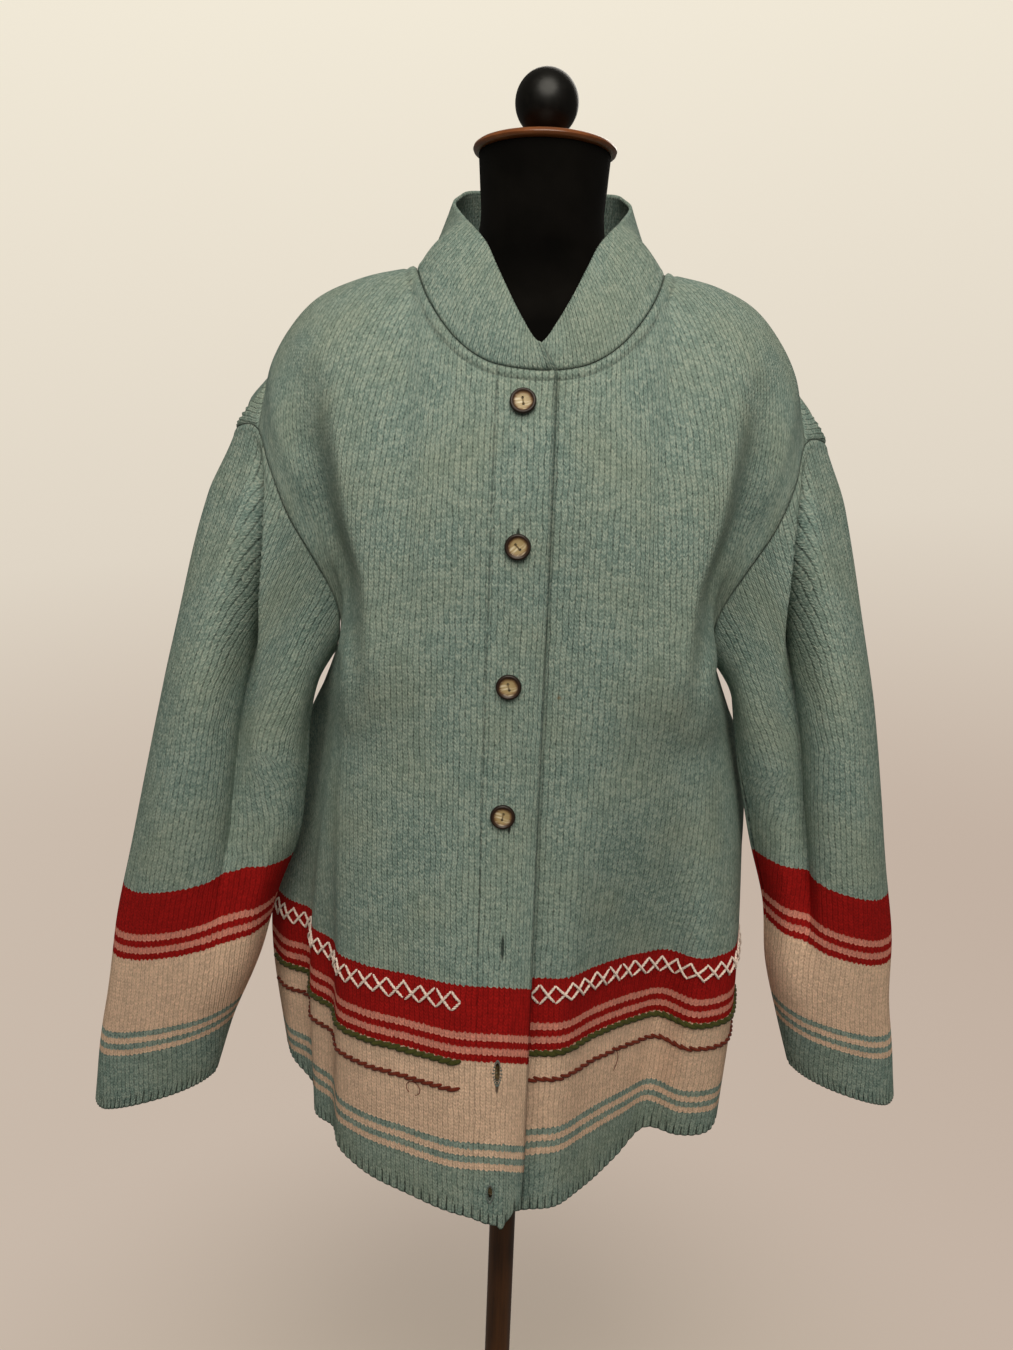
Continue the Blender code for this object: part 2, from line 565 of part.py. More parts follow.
def button(number, height):
    """A round button with two holes, laid on the front that carries it."""
    done_up = number <= BUTTONS_DONE_UP
    kind = "right" if done_up else "left"
    c = -BUTTON_X * NECK_SHARE / NECK_SIDE if done_up else BUTTON_X * MM
    v = height_on(kind, c, height)
    near = BUTTON_RADIUS * MM
    right, left = panel(kind, np.array([c - near, c + near]), np.array([v, v]))
    low, high = panel(kind, np.array([c, c]), np.array([v - near, v + near]))
    facing = np.cross(high - low, right - left)
    facing *= -np.sign(facing[1]) / np.linalg.norm(facing)
    place = panel(kind, np.array([c]), np.array([v]))[0]
    place += (BUTTON_GAP + BUTTON_DEPTH / 2) * facing
    data = bpy.data.curves.new(f"button_{number}", "CURVE")
    data.dimensions = "2D"
    data.fill_mode = "BOTH"
    edge = 0.9
    data.extrude = (BUTTON_DEPTH / 2 - edge) * MM
    data.bevel_depth = edge * MM
    data.bevel_resolution = 1
    half = BUTTON_HOLE_APART / 2
    circles = (
        (0, 0, BUTTON_RADIUS - edge, 28),
        (0, half, BUTTON_HOLE_RADIUS + edge, 8),
        (0, -half, BUTTON_HOLE_RADIUS + edge, 8),
    )
    for x, y, radius, sides in circles:
        spline = data.splines.new("POLY")
        spline.points.add(sides - 1)
        spline.use_cyclic_u = True
        for i, point in enumerate(spline.points):
            angle = 2 * np.pi * i / sides
            point.co = ((x + radius * np.cos(angle)) * MM, (y + radius * np.sin(angle)) * MM, 0, 1)
    thing = add_object(f"button_{number}", HORN, data)
    thing.location = place * MM
    thing.rotation_euler = Vector(facing).to_track_quat("Z", "Y").to_euler()


def dress_form():
    heights = np.array([row[0] for row in FORM_ROWS], float)
    heights = np.unique(np.concatenate((heights, (heights[1:] + heights[:-1]) / 2)))
    angle = np.arange(FORM_SIDES) * 2 * np.pi / FORM_SIDES
    half, front, back = curve(heights, FORM_ROWS)
    square = 1 - 0.12 * ease((1400 - heights) / 60)
    tilt = ease((heights - 1100) / 150) * ease((1400 - heights) / 40)
    vertices = []
    for z, a, f, b, power, lean in zip(heights, half, front, back, square, tilt):
        x = a * np.sign(np.cos(angle)) * np.abs(np.cos(angle)) ** power
        y = np.where(np.sin(angle) > 0, b, -f) * np.sign(np.sin(angle))
        y = y * np.abs(np.sin(angle)) ** power
        vertices += list(np.stack((x, y, z + SHOULDER_LEAN * x * lean), -1))
    count = len(heights)
    faces = []
    for i in range(count - 1):
        for j in range(FORM_SIDES):
            k = (j + 1) % FORM_SIDES
            low, high = i * FORM_SIDES, (i + 1) * FORM_SIDES
            faces.append((low + j, low + k, high + k, high + j))
    faces.append(tuple(range(FORM_SIDES))[::-1])
    faces.append(tuple(range((count - 1) * FORM_SIDES, count * FORM_SIDES)))
    add_mesh("dress_form", BLACK_CLOTH, vertices, faces)


for thing in list(bpy.data.objects):
    bpy.data.objects.remove(thing)

neck = [x * NECK_SHARE / NECK_SIDE for x in NECK_STATIONS]
front_up = UP_SIDE + tuple(
    UNDERARM + turn / ARMHOLE_TOP * (1 - UNDERARM) for turn in ARMHOLE_FRONT
)
back_up = UP_SIDE + tuple(
    UNDERARM + (1 - turn) / (1 - ARMHOLE_TOP) * (1 - UNDERARM) for turn in ARMHOLE_BACK
)
right_edges = (-RIGHT_EDGE * MM, -RIGHT_EDGE * MM / 2)
left_edges = (-LEFT_EDGE * MM, -LEFT_EDGE * MM / 2)
half_back = neck[:-1] + list(ACROSS)
back_across = [-c for c in half_back[:0:-1]] + half_back
around = (0,) + ARMHOLE_FRONT + ARMHOLE_BACK[-2::-1]
fronts = (("right", right_edges), ("left", left_edges))
grids = {
    "back": grid(
        lambda c, v: panel("back", c, v), back_across, back_up, ("first", "last", "high"), WALL
    ),
}
for kind, edges in fronts:
    grids["front_" + kind] = grid(
        lambda c, v, kind=kind: panel(kind, c, v),
        list(edges) + neck[:-1] + list(ACROSS), front_up, ("last", "high"), WALL,
    )
    grids["sleeve_" + kind] = grid(
        lambda turn, t, kind=kind: sleeve(kind, turn, t), around, DOWN_SLEEVE, ("low",), WALL, True
    )
seam = [
    1 + (NECK_SIDE - x) / (NECK_SIDE + LEFT_EDGE) for x in NECK_STATIONS[::-1]
] + [1 + (NECK_SIDE + LEFT_EDGE / 2) / (NECK_SIDE + LEFT_EDGE), 2]
other = [
    -1 - (NECK_SIDE - x) / (NECK_SIDE + RIGHT_EDGE) for x in NECK_STATIONS[::-1]
] + [-1 - (NECK_SIDE + RIGHT_EDGE / 2) / (NECK_SIDE + RIGHT_EDGE), -2]
middle = [c / NECK_SHARE for c in back_across if abs(c) < NECK_SHARE - 1e-6]
grids["collar"] = grid(collar, other[::-1] + middle + seam, UP_COLLAR, ("low",), COLLAR_WALL)
share_normals(grids)
for name, (points, normal, edges, wall, ring) in grids.items():
    shell(name, WOOL, points, normal, edges, wall, ring)

facing_up = (0.004,) + front_up[1:-1] + (0.988,)
for kind, past in (("right", RIGHT_EDGE), ("left", LEFT_EDGE)):
    x = [-past + 0.6, -past / 2] + [x for x in NECK_STATIONS if x <= PLACKET_WIDTH - past + 0.1]
    c = [x * MM if x < 0 else x * NECK_SHARE / NECK_SIDE for x in x]
    points, normal, *_ = grid(
        lambda c, v, kind=kind: panel(kind, c, v), c, facing_up, (), FACING_WALL
    )
    shell("facing_" + kind, WOOL, points - (WALL + LAYER_GAP) * normal, normal, (), FACING_WALL)

for number, height in enumerate(BUTTON_HEIGHTS, 1):
    button(number, height)
dress_form()
turned("neck_cap", TURNED_WOOD, CAP_PROFILE, sides=48)
arc = np.linspace(-np.pi / 2, np.pi / 2, 19)
turned(
    "neck_knob", BLACK_PAINT,
    [(BALL_RADIUS * max(np.cos(a), 0), BALL_HEIGHT + BALL_RADIUS * np.sin(a)) for a in arc],
    sides=36,
)
turned(
    "pole", DARK_WOOD,
    ((0, POLE_ENDS[0]), (POLE_RADIUS, POLE_ENDS[0]), (POLE_RADIUS, POLE_ENDS[1]), (0, POLE_ENDS[1])),
    sides=40,
)
turned("base", DARK_WOOD, BASE_PROFILE, sides=72)
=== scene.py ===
import bpy
import numpy as np
from mathutils import Matrix, Vector


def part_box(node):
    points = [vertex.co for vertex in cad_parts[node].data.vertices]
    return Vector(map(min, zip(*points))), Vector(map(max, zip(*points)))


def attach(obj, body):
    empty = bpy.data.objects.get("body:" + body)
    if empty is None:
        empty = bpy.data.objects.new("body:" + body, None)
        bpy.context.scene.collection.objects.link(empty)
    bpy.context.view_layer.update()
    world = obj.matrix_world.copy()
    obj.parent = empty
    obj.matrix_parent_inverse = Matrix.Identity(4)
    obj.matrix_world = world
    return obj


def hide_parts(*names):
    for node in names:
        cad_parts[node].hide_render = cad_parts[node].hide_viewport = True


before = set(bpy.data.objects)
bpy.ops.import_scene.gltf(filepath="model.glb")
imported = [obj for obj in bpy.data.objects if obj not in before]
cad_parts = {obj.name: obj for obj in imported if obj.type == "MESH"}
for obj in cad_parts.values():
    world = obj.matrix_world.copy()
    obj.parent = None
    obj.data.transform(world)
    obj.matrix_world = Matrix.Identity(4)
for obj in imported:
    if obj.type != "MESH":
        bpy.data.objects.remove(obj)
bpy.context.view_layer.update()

MM = 0.001

# ---------------------------------------------------------------------------------------------
# Stand: a round foot and a pole of dark stained wood, turned on a lathe. The pole is glued into
# the foot and runs up inside the padded form.
# ---------------------------------------------------------------------------------------------
POLE_COLOUR = (0.135, 0.050, 0.015, 1)
POLE_GRAIN = (0.034, 0.014, 0.006, 1)
TURNING_SIDES = 96
LOOKS = {
    "rough": "Roughness", "specular": "Specular IOR Level", "coat": "Coat Weight",
    "coat_rough": "Coat Roughness", "sheen": "Sheen Weight", "sheen_rough": "Sheen Roughness",
}


class Value:
    """An output of a node, which can be added to and multiplied like a number."""

    def __init__(self, tree, socket):
        self.tree, self.socket = tree, socket

    def math(self, operation, *others):
        return made(self.tree, "ShaderNodeMath", enumerate((self, *others)), operation=operation)

    def __add__(self, other):
        return self.math("ADD", other)

    def __sub__(self, other):
        return self.math("SUBTRACT", other)

    def __rsub__(self, other):
        return made(self.tree, "ShaderNodeMath", {0: other, 1: self}, operation="SUBTRACT")

    def __mul__(self, other):
        return self.math("MULTIPLY", other)

    def __truediv__(self, other):
        return self.math("DIVIDE", other)

    __radd__, __rmul__ = __add__, __mul__

    def spread(self, start, end, low=0.0, high=1.0, soft=False):
        """The value low up to start, then rising or falling to the value high at end."""
        inputs = {"Value": self, "From Min": start, "From Max": end, "To Min": low, "To Max": high}
        kind = "SMOOTHSTEP" if soft else "LINEAR"
        return made(self.tree, "ShaderNodeMapRange", inputs, interpolation_type=kind)


def add(tree, kind, inputs=(), **settings):
    """A node with these settings. Its inputs are values, or outputs of other nodes to join."""
    new = tree.nodes.new(kind)
    for key, value in settings.items():
        setattr(new, key, value)
    for key, value in dict(inputs).items():
        value = value.socket if isinstance(value, Value) else value
        named = [socket for socket in new.inputs if socket.name == key and socket.enabled]
        socket = named[0] if named else new.inputs[key]
        if isinstance(value, bpy.types.NodeSocket):
            tree.links.new(value, socket)
        else:
            socket.default_value = value
    return new


def made(tree, kind, inputs=(), result=0, **settings):
    """One output of a new node."""
    return Value(tree, add(tree, kind, inputs, **settings).outputs[result])


def noise(where, scale, detail=2.0, rough=0.5):
    inputs = {"Vector": where, "Scale": scale, "Detail": detail, "Roughness": rough}
    return made(where.tree, "ShaderNodeTexNoise", inputs, "Fac")


def ramp(share, stops, interpolation="LINEAR"):
    """A colour ramp with (place, colour) stops."""
    new = add(share.tree, "ShaderNodeValToRGB", {"Fac": share})
    new.color_ramp.interpolation = interpolation
    marks = new.color_ramp.elements
    while len(marks) < len(stops):
        marks.new(1.0)
    for mark, (place, colour) in zip(marks, stops):
        mark.position = place
        mark.color = colour
    return Value(share.tree, new.outputs["Color"])


def mix(first, second, share=1.0, blend="MIX"):
    """The second colour laid over the first."""
    inputs = {"Factor": share, "A": first, "B": second}
    new = add(first.tree, "ShaderNodeMix", inputs, data_type="RGBA", blend_type=blend)
    return Value(first.tree, next(socket for socket in new.outputs if socket.enabled))


def finish_of(name, **looks):
    """A material, its node tree and its shader, with the shader's plain values set."""
    material = bpy.data.materials.new(name)
    material.use_nodes = True
    tree = material.node_tree
    shader = tree.nodes["Principled BSDF"]
    for key, value in looks.items():
        shader.inputs[LOOKS[key]].default_value = value
    return material, tree, shader


def join(value, shader, name):
    shader.id_data.links.new(value.socket, shader.inputs[name])


def raised(height, shader, strength, distance):
    inputs = {"Height": height, "Strength": strength, "Distance": distance}
    join(made(height.tree, "ShaderNodeBump", inputs), shader, "Normal")


def wood(name, colour, grain, stretch, **looks):
    """Turned wood: long grain lines drawn out by stretch, and a varnish."""
    material, tree, shader = finish_of(name, specular=0.3, coat_rough=0.12, **looks)
    where = made(tree, "ShaderNodeTexCoord", result="Object")
    place = made(tree, "ShaderNodeMapping", {"Vector": where, "Scale": stretch})
    lines = noise(place, 60, 6, 0.62)
    share = lines * 0.7 + noise(where, 14, 2) * 0.3
    join(ramp(share, ((0.36, grain), (0.62, colour))), shader, "Base Color")
    raised(lines, shader, 0.25, 0.0004)
    return material


def placed(name, data):
    """A new object in the scene for this mesh, light or camera."""
    thing = bpy.data.objects.new(name, data)
    bpy.context.scene.collection.objects.link(thing)
    return thing


def piece_from(name, mesh, material, *nodes, slot):
    """An object for a finished mesh, which rides on the stand and stands for its CAD nodes."""
    thing = placed(name, mesh)
    mesh.materials.clear()
    mesh.materials.append(material)
    if nodes:
        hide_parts(*nodes)
    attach(thing, "root")
    return thing


def turns(count):
    """This many angles evenly round a circle."""
    return np.arange(count) * 2 * np.pi / count


def lathe(profile, sides):
    """Points and faces of a body turned about an upright axis: (radius, height) from the lowest
    point up."""
    angle = turns(sides)
    points, rings, faces = [], [], []
    for radius, height in profile:
        start, count = len(points), 1 if radius < 1e-9 else sides
        points += [(radius * np.cos(a), radius * np.sin(a), height) for a in angle[:count]]
        rings.append([start + i % count for i in range(sides)])
    for low, high in zip(rings, rings[1:]):
        for i in range(sides):
            j = (i + 1) % sides
            faces.append(list(dict.fromkeys((low[i], low[j], high[j], high[i]))))
    return points, [face for face in faces if len(face) > 2]


def turned(name, node, profile, material, slot):
    """A piece turned about the pole's axis, its profile in mm."""
    points, faces = lathe(np.array(profile, float) * MM, TURNING_SIDES)
    mesh = bpy.data.meshes.new(name)
    mesh.from_pydata(points, [], faces)
    mesh.shade_smooth()
    mesh.set_sharp_from_angle(angle=np.radians(38))
    return piece_from(name, mesh, material, node, slot=slot)


dark_wood = wood("stained_wood", POLE_COLOUR, POLE_GRAIN, (1, 1, 0.05), rough=0.42, coat=0.25)
pole_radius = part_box("pole")[1].x / MM
pole_low, pole_high = (corner.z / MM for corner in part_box("pole"))
turned(
    "stand_pole", "pole",
    ((0, pole_low), (pole_radius, pole_low), (pole_radius, pole_high), (0, pole_high)),
    dark_wood, "dark_wood",
)
turned(
    "stand_foot", "base",
    (
        (0, 0), (174, 0), (178.5, 1.2), (180, 4), (180, 14), (179, 17), (176, 19.5), (171, 21.5),
        (120, 22.6), (42, 24), (35, 25.8), (30, 30), (27.4, 36), (26, 44), (25, 52), (24, 55.6),
        (21.5, 57.6), (12.9, 58), (12.9, 22.55), (0, 22.55),
    ),
    dark_wood, "dark_wood",
)

# ---------------------------------------------------------------------------------------------
# Dress form: a limbless padded body covered in black stretch jersey, pulled smooth. It ends in a
# straight neck, which the varnished turned cap and the painted knob close.
# ---------------------------------------------------------------------------------------------
FORM_ROWS = (
    # height, half width, front, back
    (762, 148, -84, 84), (766, 152, -88, 88), (776, 154, -90, 90), (800, 156, -92, 92),
    (850, 150, -94, 90), (920, 138, -96, 84), (990, 134, -98, 84), (1060, 141, -110, 90),
    (1130, 148, -117, 97), (1190, 156, -112, 94), (1240, 164, -101, 88), (1280, 168, -88, 80),
    (1316, 162, -74, 75), (1335, 147, -62, 67), (1351, 115, -50, 60), (1367, 83, -46, 55),
    (1382, 62, -46, 51), (1396, 52, -48, 49), (1410, 49, -49, 49), (1440, 50, -50, 50),
    (1461, 51.5, -51.5, 51.5),
)
FORM_LINES, FORM_SIDES = 102, 120
SQUARENESS = 0.12     # how much squarer the trunk is than an oval
SHOULDER_LEAN, LEAN_FROM = 0.008, 1100   # the wearer's left side is higher above this height
BALL_RADIUS, BALL_HEIGHT = 24.6, 1499.2
CAP_COLOUR = (0.27, 0.085, 0.022, 1)
CAP_GRAIN = (0.10, 0.026, 0.007, 1)


def weights(x, knots):
    """Share of each knot in a smooth cubic through them, for every x."""
    knots = np.asarray(knots, float)
    span = np.diff(knots)
    x = np.clip(np.asarray(x, float), knots[0], knots[-1])
    i = np.clip(np.searchsorted(knots, x, side="right") - 1, 0, len(span) - 1)
    t = ((x - knots[i]) / span[i])[..., None]
    unit = np.eye(len(knots))
    slope = np.diff(unit, axis=0) / span[:, None]
    slope = np.concatenate((slope[:1], slope, slope[-1:]))
    near = np.concatenate((span[:1], span, span[-1:]))[:, None]
    tangent = (slope[:-1] * near[1:] + slope[1:] * near[:-1]) / (near[:-1] + near[1:])
    length = span[i][..., None]
    start = unit[i] * (1 - t) ** 2 * (1 + 2 * t) + tangent[i] * length * t * (1 - t) ** 2
    end = unit[i + 1] * t**2 * (3 - 2 * t) - tangent[i + 1] * length * t**2 * (1 - t)
    return start + end


def curve(t, rows):
    """Columns of a table, smoothed over its first column."""
    rows = np.array(rows, float)
    return np.moveaxis(weights(t, rows[:, 0]) @ rows[:, 1:], -1, 0)


def ease(x):
    x = np.clip(x, 0, 1)
    return x * x * (3 - 2 * x)


def squarer(x, power):
    """A sine or cosine raised to a power, which turns an oval into a squarer shape."""
    return np.sign(x) * np.abs(x) ** power


def shaped_form():
    heights = np.linspace(FORM_ROWS[0][0], FORM_ROWS[-1][0], FORM_LINES)
    angle = turns(FORM_SIDES)
    half, front, back = (column[:, None] for column in curve(heights, FORM_ROWS))
    z = heights[:, None]
    power = 1 - SQUARENESS * ease((1400 - z) / 60)
    lean = ease((z - LEAN_FROM) / 150) * ease((1400 - z) / 40)
    x = half * squarer(np.cos(angle), power)
    y = np.where(np.sin(angle) > 0, back, -front) * squarer(np.sin(angle), power)
    points = np.stack((x, y, z + SHOULDER_LEAN * x * lean), -1)
    index = np.arange(points[..., 0].size).reshape(points.shape[:2])
    ring = np.concatenate((index, index[:, :1]), 1)
    corners = (ring[:-1, :-1], ring[:-1, 1:], ring[1:, 1:], ring[1:, :-1])
    faces = np.stack(corners, -1).reshape(-1, 4).tolist()
    faces += [index[0, ::-1].tolist(), index[-1].tolist()]
    mesh = bpy.data.meshes.new("form_body")
    mesh.from_pydata((points.reshape(-1, 3) * MM).tolist(), [], faces)
    mesh.shade_smooth()
    mesh.set_sharp_from_angle(angle=np.radians(40))
    return mesh


def jersey():
    """Black stretch jersey: fine ribs up the body and a faint nap."""
    material, tree, shader = finish_of("black_jersey", rough=0.85, sheen=0.015, specular=0.04)
    where = made(tree, "ShaderNodeTexCoord", result="Object")
    drawn = made(tree, "ShaderNodeMapping", {"Vector": where, "Scale": (1, 1, 0.3)})
    dark, pale = (0.0018, 0.0015, 0.0012, 1), (0.0048, 0.0040, 0.0033, 1)
    join(ramp(noise(where, 22, 3), ((0.35, dark), (0.7, pale))), shader, "Base Color")
    raised(noise(drawn, 900), shader, 0.4, 0.0003)
    return material


def gloss_paint():
    """Black gloss paint on a turned ball, a little uneven and dusty."""
    material, tree, shader = finish_of("black_paint", specular=0.3)
    uneven = noise(made(tree, "ShaderNodeTexCoord", result="Object"), 180, 3)
    dark, pale = (0.0016, 0.0013, 0.001, 1), (0.004, 0.0033, 0.0026, 1)
    join(ramp(uneven, ((0.3, dark), (0.8, pale))), shader, "Base Color")
    join(uneven.spread(0, 1, 0.30, 0.46), shader, "Roughness")
    raised(uneven, shader, 0.12, 0.0003)
    return material


piece_from("form_body", shaped_form(), jersey(), "dress_form", slot="form_cloth")
cap_wood = wood("varnished_wood", CAP_COLOUR, CAP_GRAIN, (0.12, 1, 1), rough=0.38, coat=0.6)
turned(
    "form_cap", "neck_cap",
    (
        (0, 1461.3), (51, 1461.3), (53.6, 1461.8), (55.3, 1462.9), (56, 1464.4), (55.5, 1466),
        (53.6, 1467.4), (50, 1468.5), (44, 1470), (38, 1471.4), (30, 1472.7), (20, 1473.7),
        (9, 1474.2), (0, 1474.2),
    ),
    cap_wood, "turned_wood",
)
arc = np.linspace(-np.pi / 2, np.pi / 2, 49)
turned(
    "form_knob", "neck_knob",
    [(BALL_RADIUS * max(np.cos(a), 0), BALL_HEIGHT + BALL_RADIUS * np.sin(a)) for a in arc],
    gloss_paint(), "knob_paint",
)

# ---------------------------------------------------------------------------------------------
# Fronts and back: felted lambswool stockinette, knitted in panels with the striped border worked
# in, then steamed. They are joined at the shoulders and down the sides.
# ---------------------------------------------------------------------------------------------
WALL = 2.5           # felted knit
WALE, COURSE = 4.4, 3.0
RED_TOP = 831.0      # height where the border starts
RIGHT_EDGE, LEFT_EDGE = 13.0, 33.0
UNDERLAP, FLAP_LIFT, FLAP_TOP = 7.5, 7.5, 965.0
NECK_SHARE, NECK_SIDE = 0.42, 98.0
UNDERARM, UNDERARM_TUCK, SHOULDER_CURVE, SHOULDER_SHIFT = 0.66, 5.0, 8.0, 2.7
LEVEL_TOP = 1300.0
FOLDS_END = (1045, 1000)   # heights above which the folds fade out sideways, and front to back
PULLED_FROM = 0.62   # share of the way across from which a panel is pulled over to its side edge
GRID = 4.4           # grid lines of the cloth stand this far apart
LEVELS = (1068, 960, 810, 640)
FOLDS = {
    "right": (
        # x_arm, y_arm, x_waist, y_waist, x_band, y_band, x_hem, y_hem
        (0, -131, 0, -132, 0, -141, 0, -146),
        (50, -128, 52, -130, 51, -138, 52, -142),
        (90, -121, 94, -122, 91, -129, 94, -130),
        (120, -109, 126, -110, 125, -116, 127, -112),
        (134, -96, 142, -98, 144, -102, 146, -95),
        (140, -82, 150, -86, 154, -76, 156, -68),
        (144, -68, 159, -70, 175, -56, 174, -50),
        (148, -48, 168, -36, 185, -19, 185, -12),
        (153, -33, 182, 4, 208, -5, 205, 6),
        (160, -18, 204, 42, 229, 26, 214, 28),
    ),
    "left": (
        (0, -131, 0, -132, 0, -141, 0, -146),
        (36, -129, 36, -128, 36, -131, 36, -130),
        (72, -124, 72, -118, 70, -102, 68, -102),
        (104, -116, 104, -106, 104, -80, 98, -74),
        (124, -106, 128, -96, 128, -71, 122, -52),
        (138, -92, 150, -88, 154, -87, 150, -66),
        (146, -70, 170, -66, 182, -74, 180, -62),
        (151, -42, 186, -24, 199, -32, 196, -20),
        (160, -18, 206, 40, 206, 20, 199, 16),
    ),
    "back": (
        (-160, -18, -204, 42, -229, 26, -214, 28),
        (-156, 38, -207, 70, -208, 66, -206, 68),
        (-122, 74, -166, 85, -170, 84, -172, 84),
        (-82, 100, -112, 100, -122, 94, -124, 88),
        (-40, 110, -62, 112, -72, 116, -78, 122),
        (0, 112, -6, 110, -12, 104, -16, 100),
        (40, 110, 50, 112, 50, 118, 46, 124),
        (82, 100, 106, 100, 110, 96, 108, 90),
        (122, 74, 160, 84, 164, 88, 162, 92),
        (156, 38, 209, 67, 200, 62, 194, 62),
        (160, -18, 206, 40, 206, 20, 199, 16),
    ),
}
HEMS = {
    # share of the way from the centre line to the side seam, height of the hem
    "right": (
        (-0.013, 652), (-0.009, 641), (-0.004, 630), (0, 624), (0.03, 621), (0.1, 627),
        (0.2, 631), (0.4, 638), (0.5, 644), (0.7, 643), (0.8, 650), (0.9, 663), (1, 668),
    ),
    "left": (
        (-0.033, 640), (-0.027, 628), (-0.018, 622), (0, 621), (0.2, 618), (0.3, 621),
        (0.4, 629), (0.5, 643), (0.7, 650), (0.8, 663), (0.9, 672), (1, 668),
    ),
    "back": ((-1, 668), (-0.5, 650), (0, 642), (0.5, 648), (1, 668)),
}
NECKLINE = (
    # distance from the centre, height of the seam, height of the ridge that the chest rolls from
    (0, 1294, 1391), (14, 1295, 1391), (42, 1302, 1389), (57, 1312, 1386),
    (74, 1331, 1383), (87, 1352, 1381), (98, 1377, 1377),
)
BACK_NECKLINE = (
    (0, 1394, 1434), (35, 1392, 1430), (68, 1387, 1415), (90, 1382, 1392), (98, 1377, 1377),
)
SHOULDER_SEAM = (
    # x, y, z from the neck to the top of the armhole
    (98, 4, 1378), (140, 0, 1368), (173, -6, 1351), (194, -14, 1326),
    (205, -25, 1302), (209, -40, 1274), (212, -54, 1247),
)
CHEST = (
    # share across, depth of the chest, drop from the shoulder to that depth
    (0, -131, 228), (0.42, -127, 235), (0.6, -121, 230), (0.75, -106, 200),
    (0.88, -99, 150), (1, -98, 110),
)
SHOULDER_BLADES = (
    (0, 110, 150), (0.42, 108, 150), (0.6, 102, 140), (0.75, 92, 120),
    (0.88, 84, 100), (1, 78, 90),
)
CHEST_VALLEY = (
    # height, distance from the centre, depth
    (1030, 134, 0), (1060, 136, 7), (1093, 138, 20), (1138, 143, 28), (1183, 157, 31),
    (1226, 163, 22), (1268, 167, 10), (1300, 168, 4), (1318, 173, 0), (1400, 173, 0),
)
CHEST_VALLEY_TOP = 1318
CHEST_VALLEY_WIDTHS = (22, 34)   # on the side of the centre line, on the side of the sleeve
ARMHOLE = (
    # share of the way round from the underarm by the front, x, y, z
    (0.00, 160, -18, 1068), (0.05, 154, -34, 1085), (0.13, 156, -48, 1116),
    (0.20, 171, -62, 1149), (0.27, 188, -73, 1183), (0.34, 202, -71, 1220),
    (0.40, 212, -54, 1247), (0.50, 240, -12, 1249), (0.59, 238, 30, 1243),
    (0.68, 222, 62, 1215), (0.78, 196, 78, 1168), (0.88, 172, 62, 1118),
    (0.95, 163, 20, 1082), (1.00, 160, -18, 1068),
)
ARMHOLE_TOP = 0.40

BORDER = (
    # rows, yarn: from the top of the border down
    (13, "red"), (2, "rose"), (2, "red"), (2, "rose"), (2, "red"), (24, "sand"), (2, "sage"),
    (2, "sand"), (2, "sage"), (2, "sand"), (1, "sage"),
)
YARN = {
    "sage": (0.222, 0.298, 0.266, 1), "red": (0.300, 0.008, 0.007, 1),
    "rose": (0.62, 0.235, 0.178, 1), "sand": (0.69, 0.480, 0.350, 1),
}
PALE_FLECK, DEEP_FLECK = (0.334, 0.394, 0.340, 1), (0.134, 0.198, 0.178, 1)
YELLOWED = (0.245, 0.262, 0.185, 1)    # sage where the wool has aged
STITCH_LEAN = 0.75   # courses that each leg of a stitch rises by, from the side to the middle
SLIT_PITCH = 6.6     # overcast stitches along a hem pull it in this far apart
SLITS = (10.0, 18.0)  # shortest and longest of those stitches
SLIT_SHARE, SLIT_DEEP = 0.34, 0.9   # half their width in pitches, and how far they pull it in
NO_SLITS = 9.5       # place on the hem's map of knit that has no such stitches
ACROSS_STEP = SLIT_PITCH / 3
MARKS = (
    # x, y, z and radius of a small stain, and its colour
    (-7, -138, 1087, 4.2, (0.10, 0.05, 0.02, 1)), (24, -126, 1058, 2.8, (0.20, 0.13, 0.06, 1)),
    (-88, -118, 1283, 3.0, (0.06, 0.07, 0.06, 1)), (8, -136, 1148, 2.2, (0.12, 0.09, 0.05, 1)),
)
SLASH_WIDE = 0.0013   # half width in metres of a closed buttonhole or a pulled stitch
SLASHES = (
    # place from the centre line and from the top of the border, half height of each of them
    (11, 348, 5), (11, 127, 6), (13.5, 31, 11), (15, -86, 5),
)
BUTTONHOLES = (
    # place from the centre line and from the top of the border, width and height of an open one
    (15.0, -73, 4.0, 18), (18.5, -181, 3.6, 13),
)
HOLE_SIDES, HOLE_REACH = 28, 9
FOLD_SWELL, FOLD_WIDE, FOLD_SHADE = 1.5, 3.4, 0.75   # the folded edge that laps over the other side, darkened with painted shade
UNDER_DEEP, UNDER_WIDE, UNDER_SHADOW = 0.5, 8.0, 0.5  # the other side, pressed flat along that edge, with the edge's shadow painted on it
RIM = 1.1            # a bare edge of the knit is rounded out by this much
SEAM_FROM = 0.955    # share of the way across from which the grid is fine, for the side seam
holes, cloths, sheets = [], {}, []
dice = np.random.default_rng(7)


def path(t, points):
    """A smooth line through the points, t from 0 to 1 along its length."""
    points = np.array(points, float)
    steps = np.linalg.norm(np.diff(points, axis=0), axis=1)
    knots = np.concatenate(([0], np.cumsum(steps))) / steps.sum()
    return np.moveaxis(weights(t, knots) @ points, -1, 0)


def bump(x):
    """A soft ridge of half width 1 and height 1."""
    return 0.5 + 0.5 * np.cos(np.pi * np.clip(x, -1, 1))


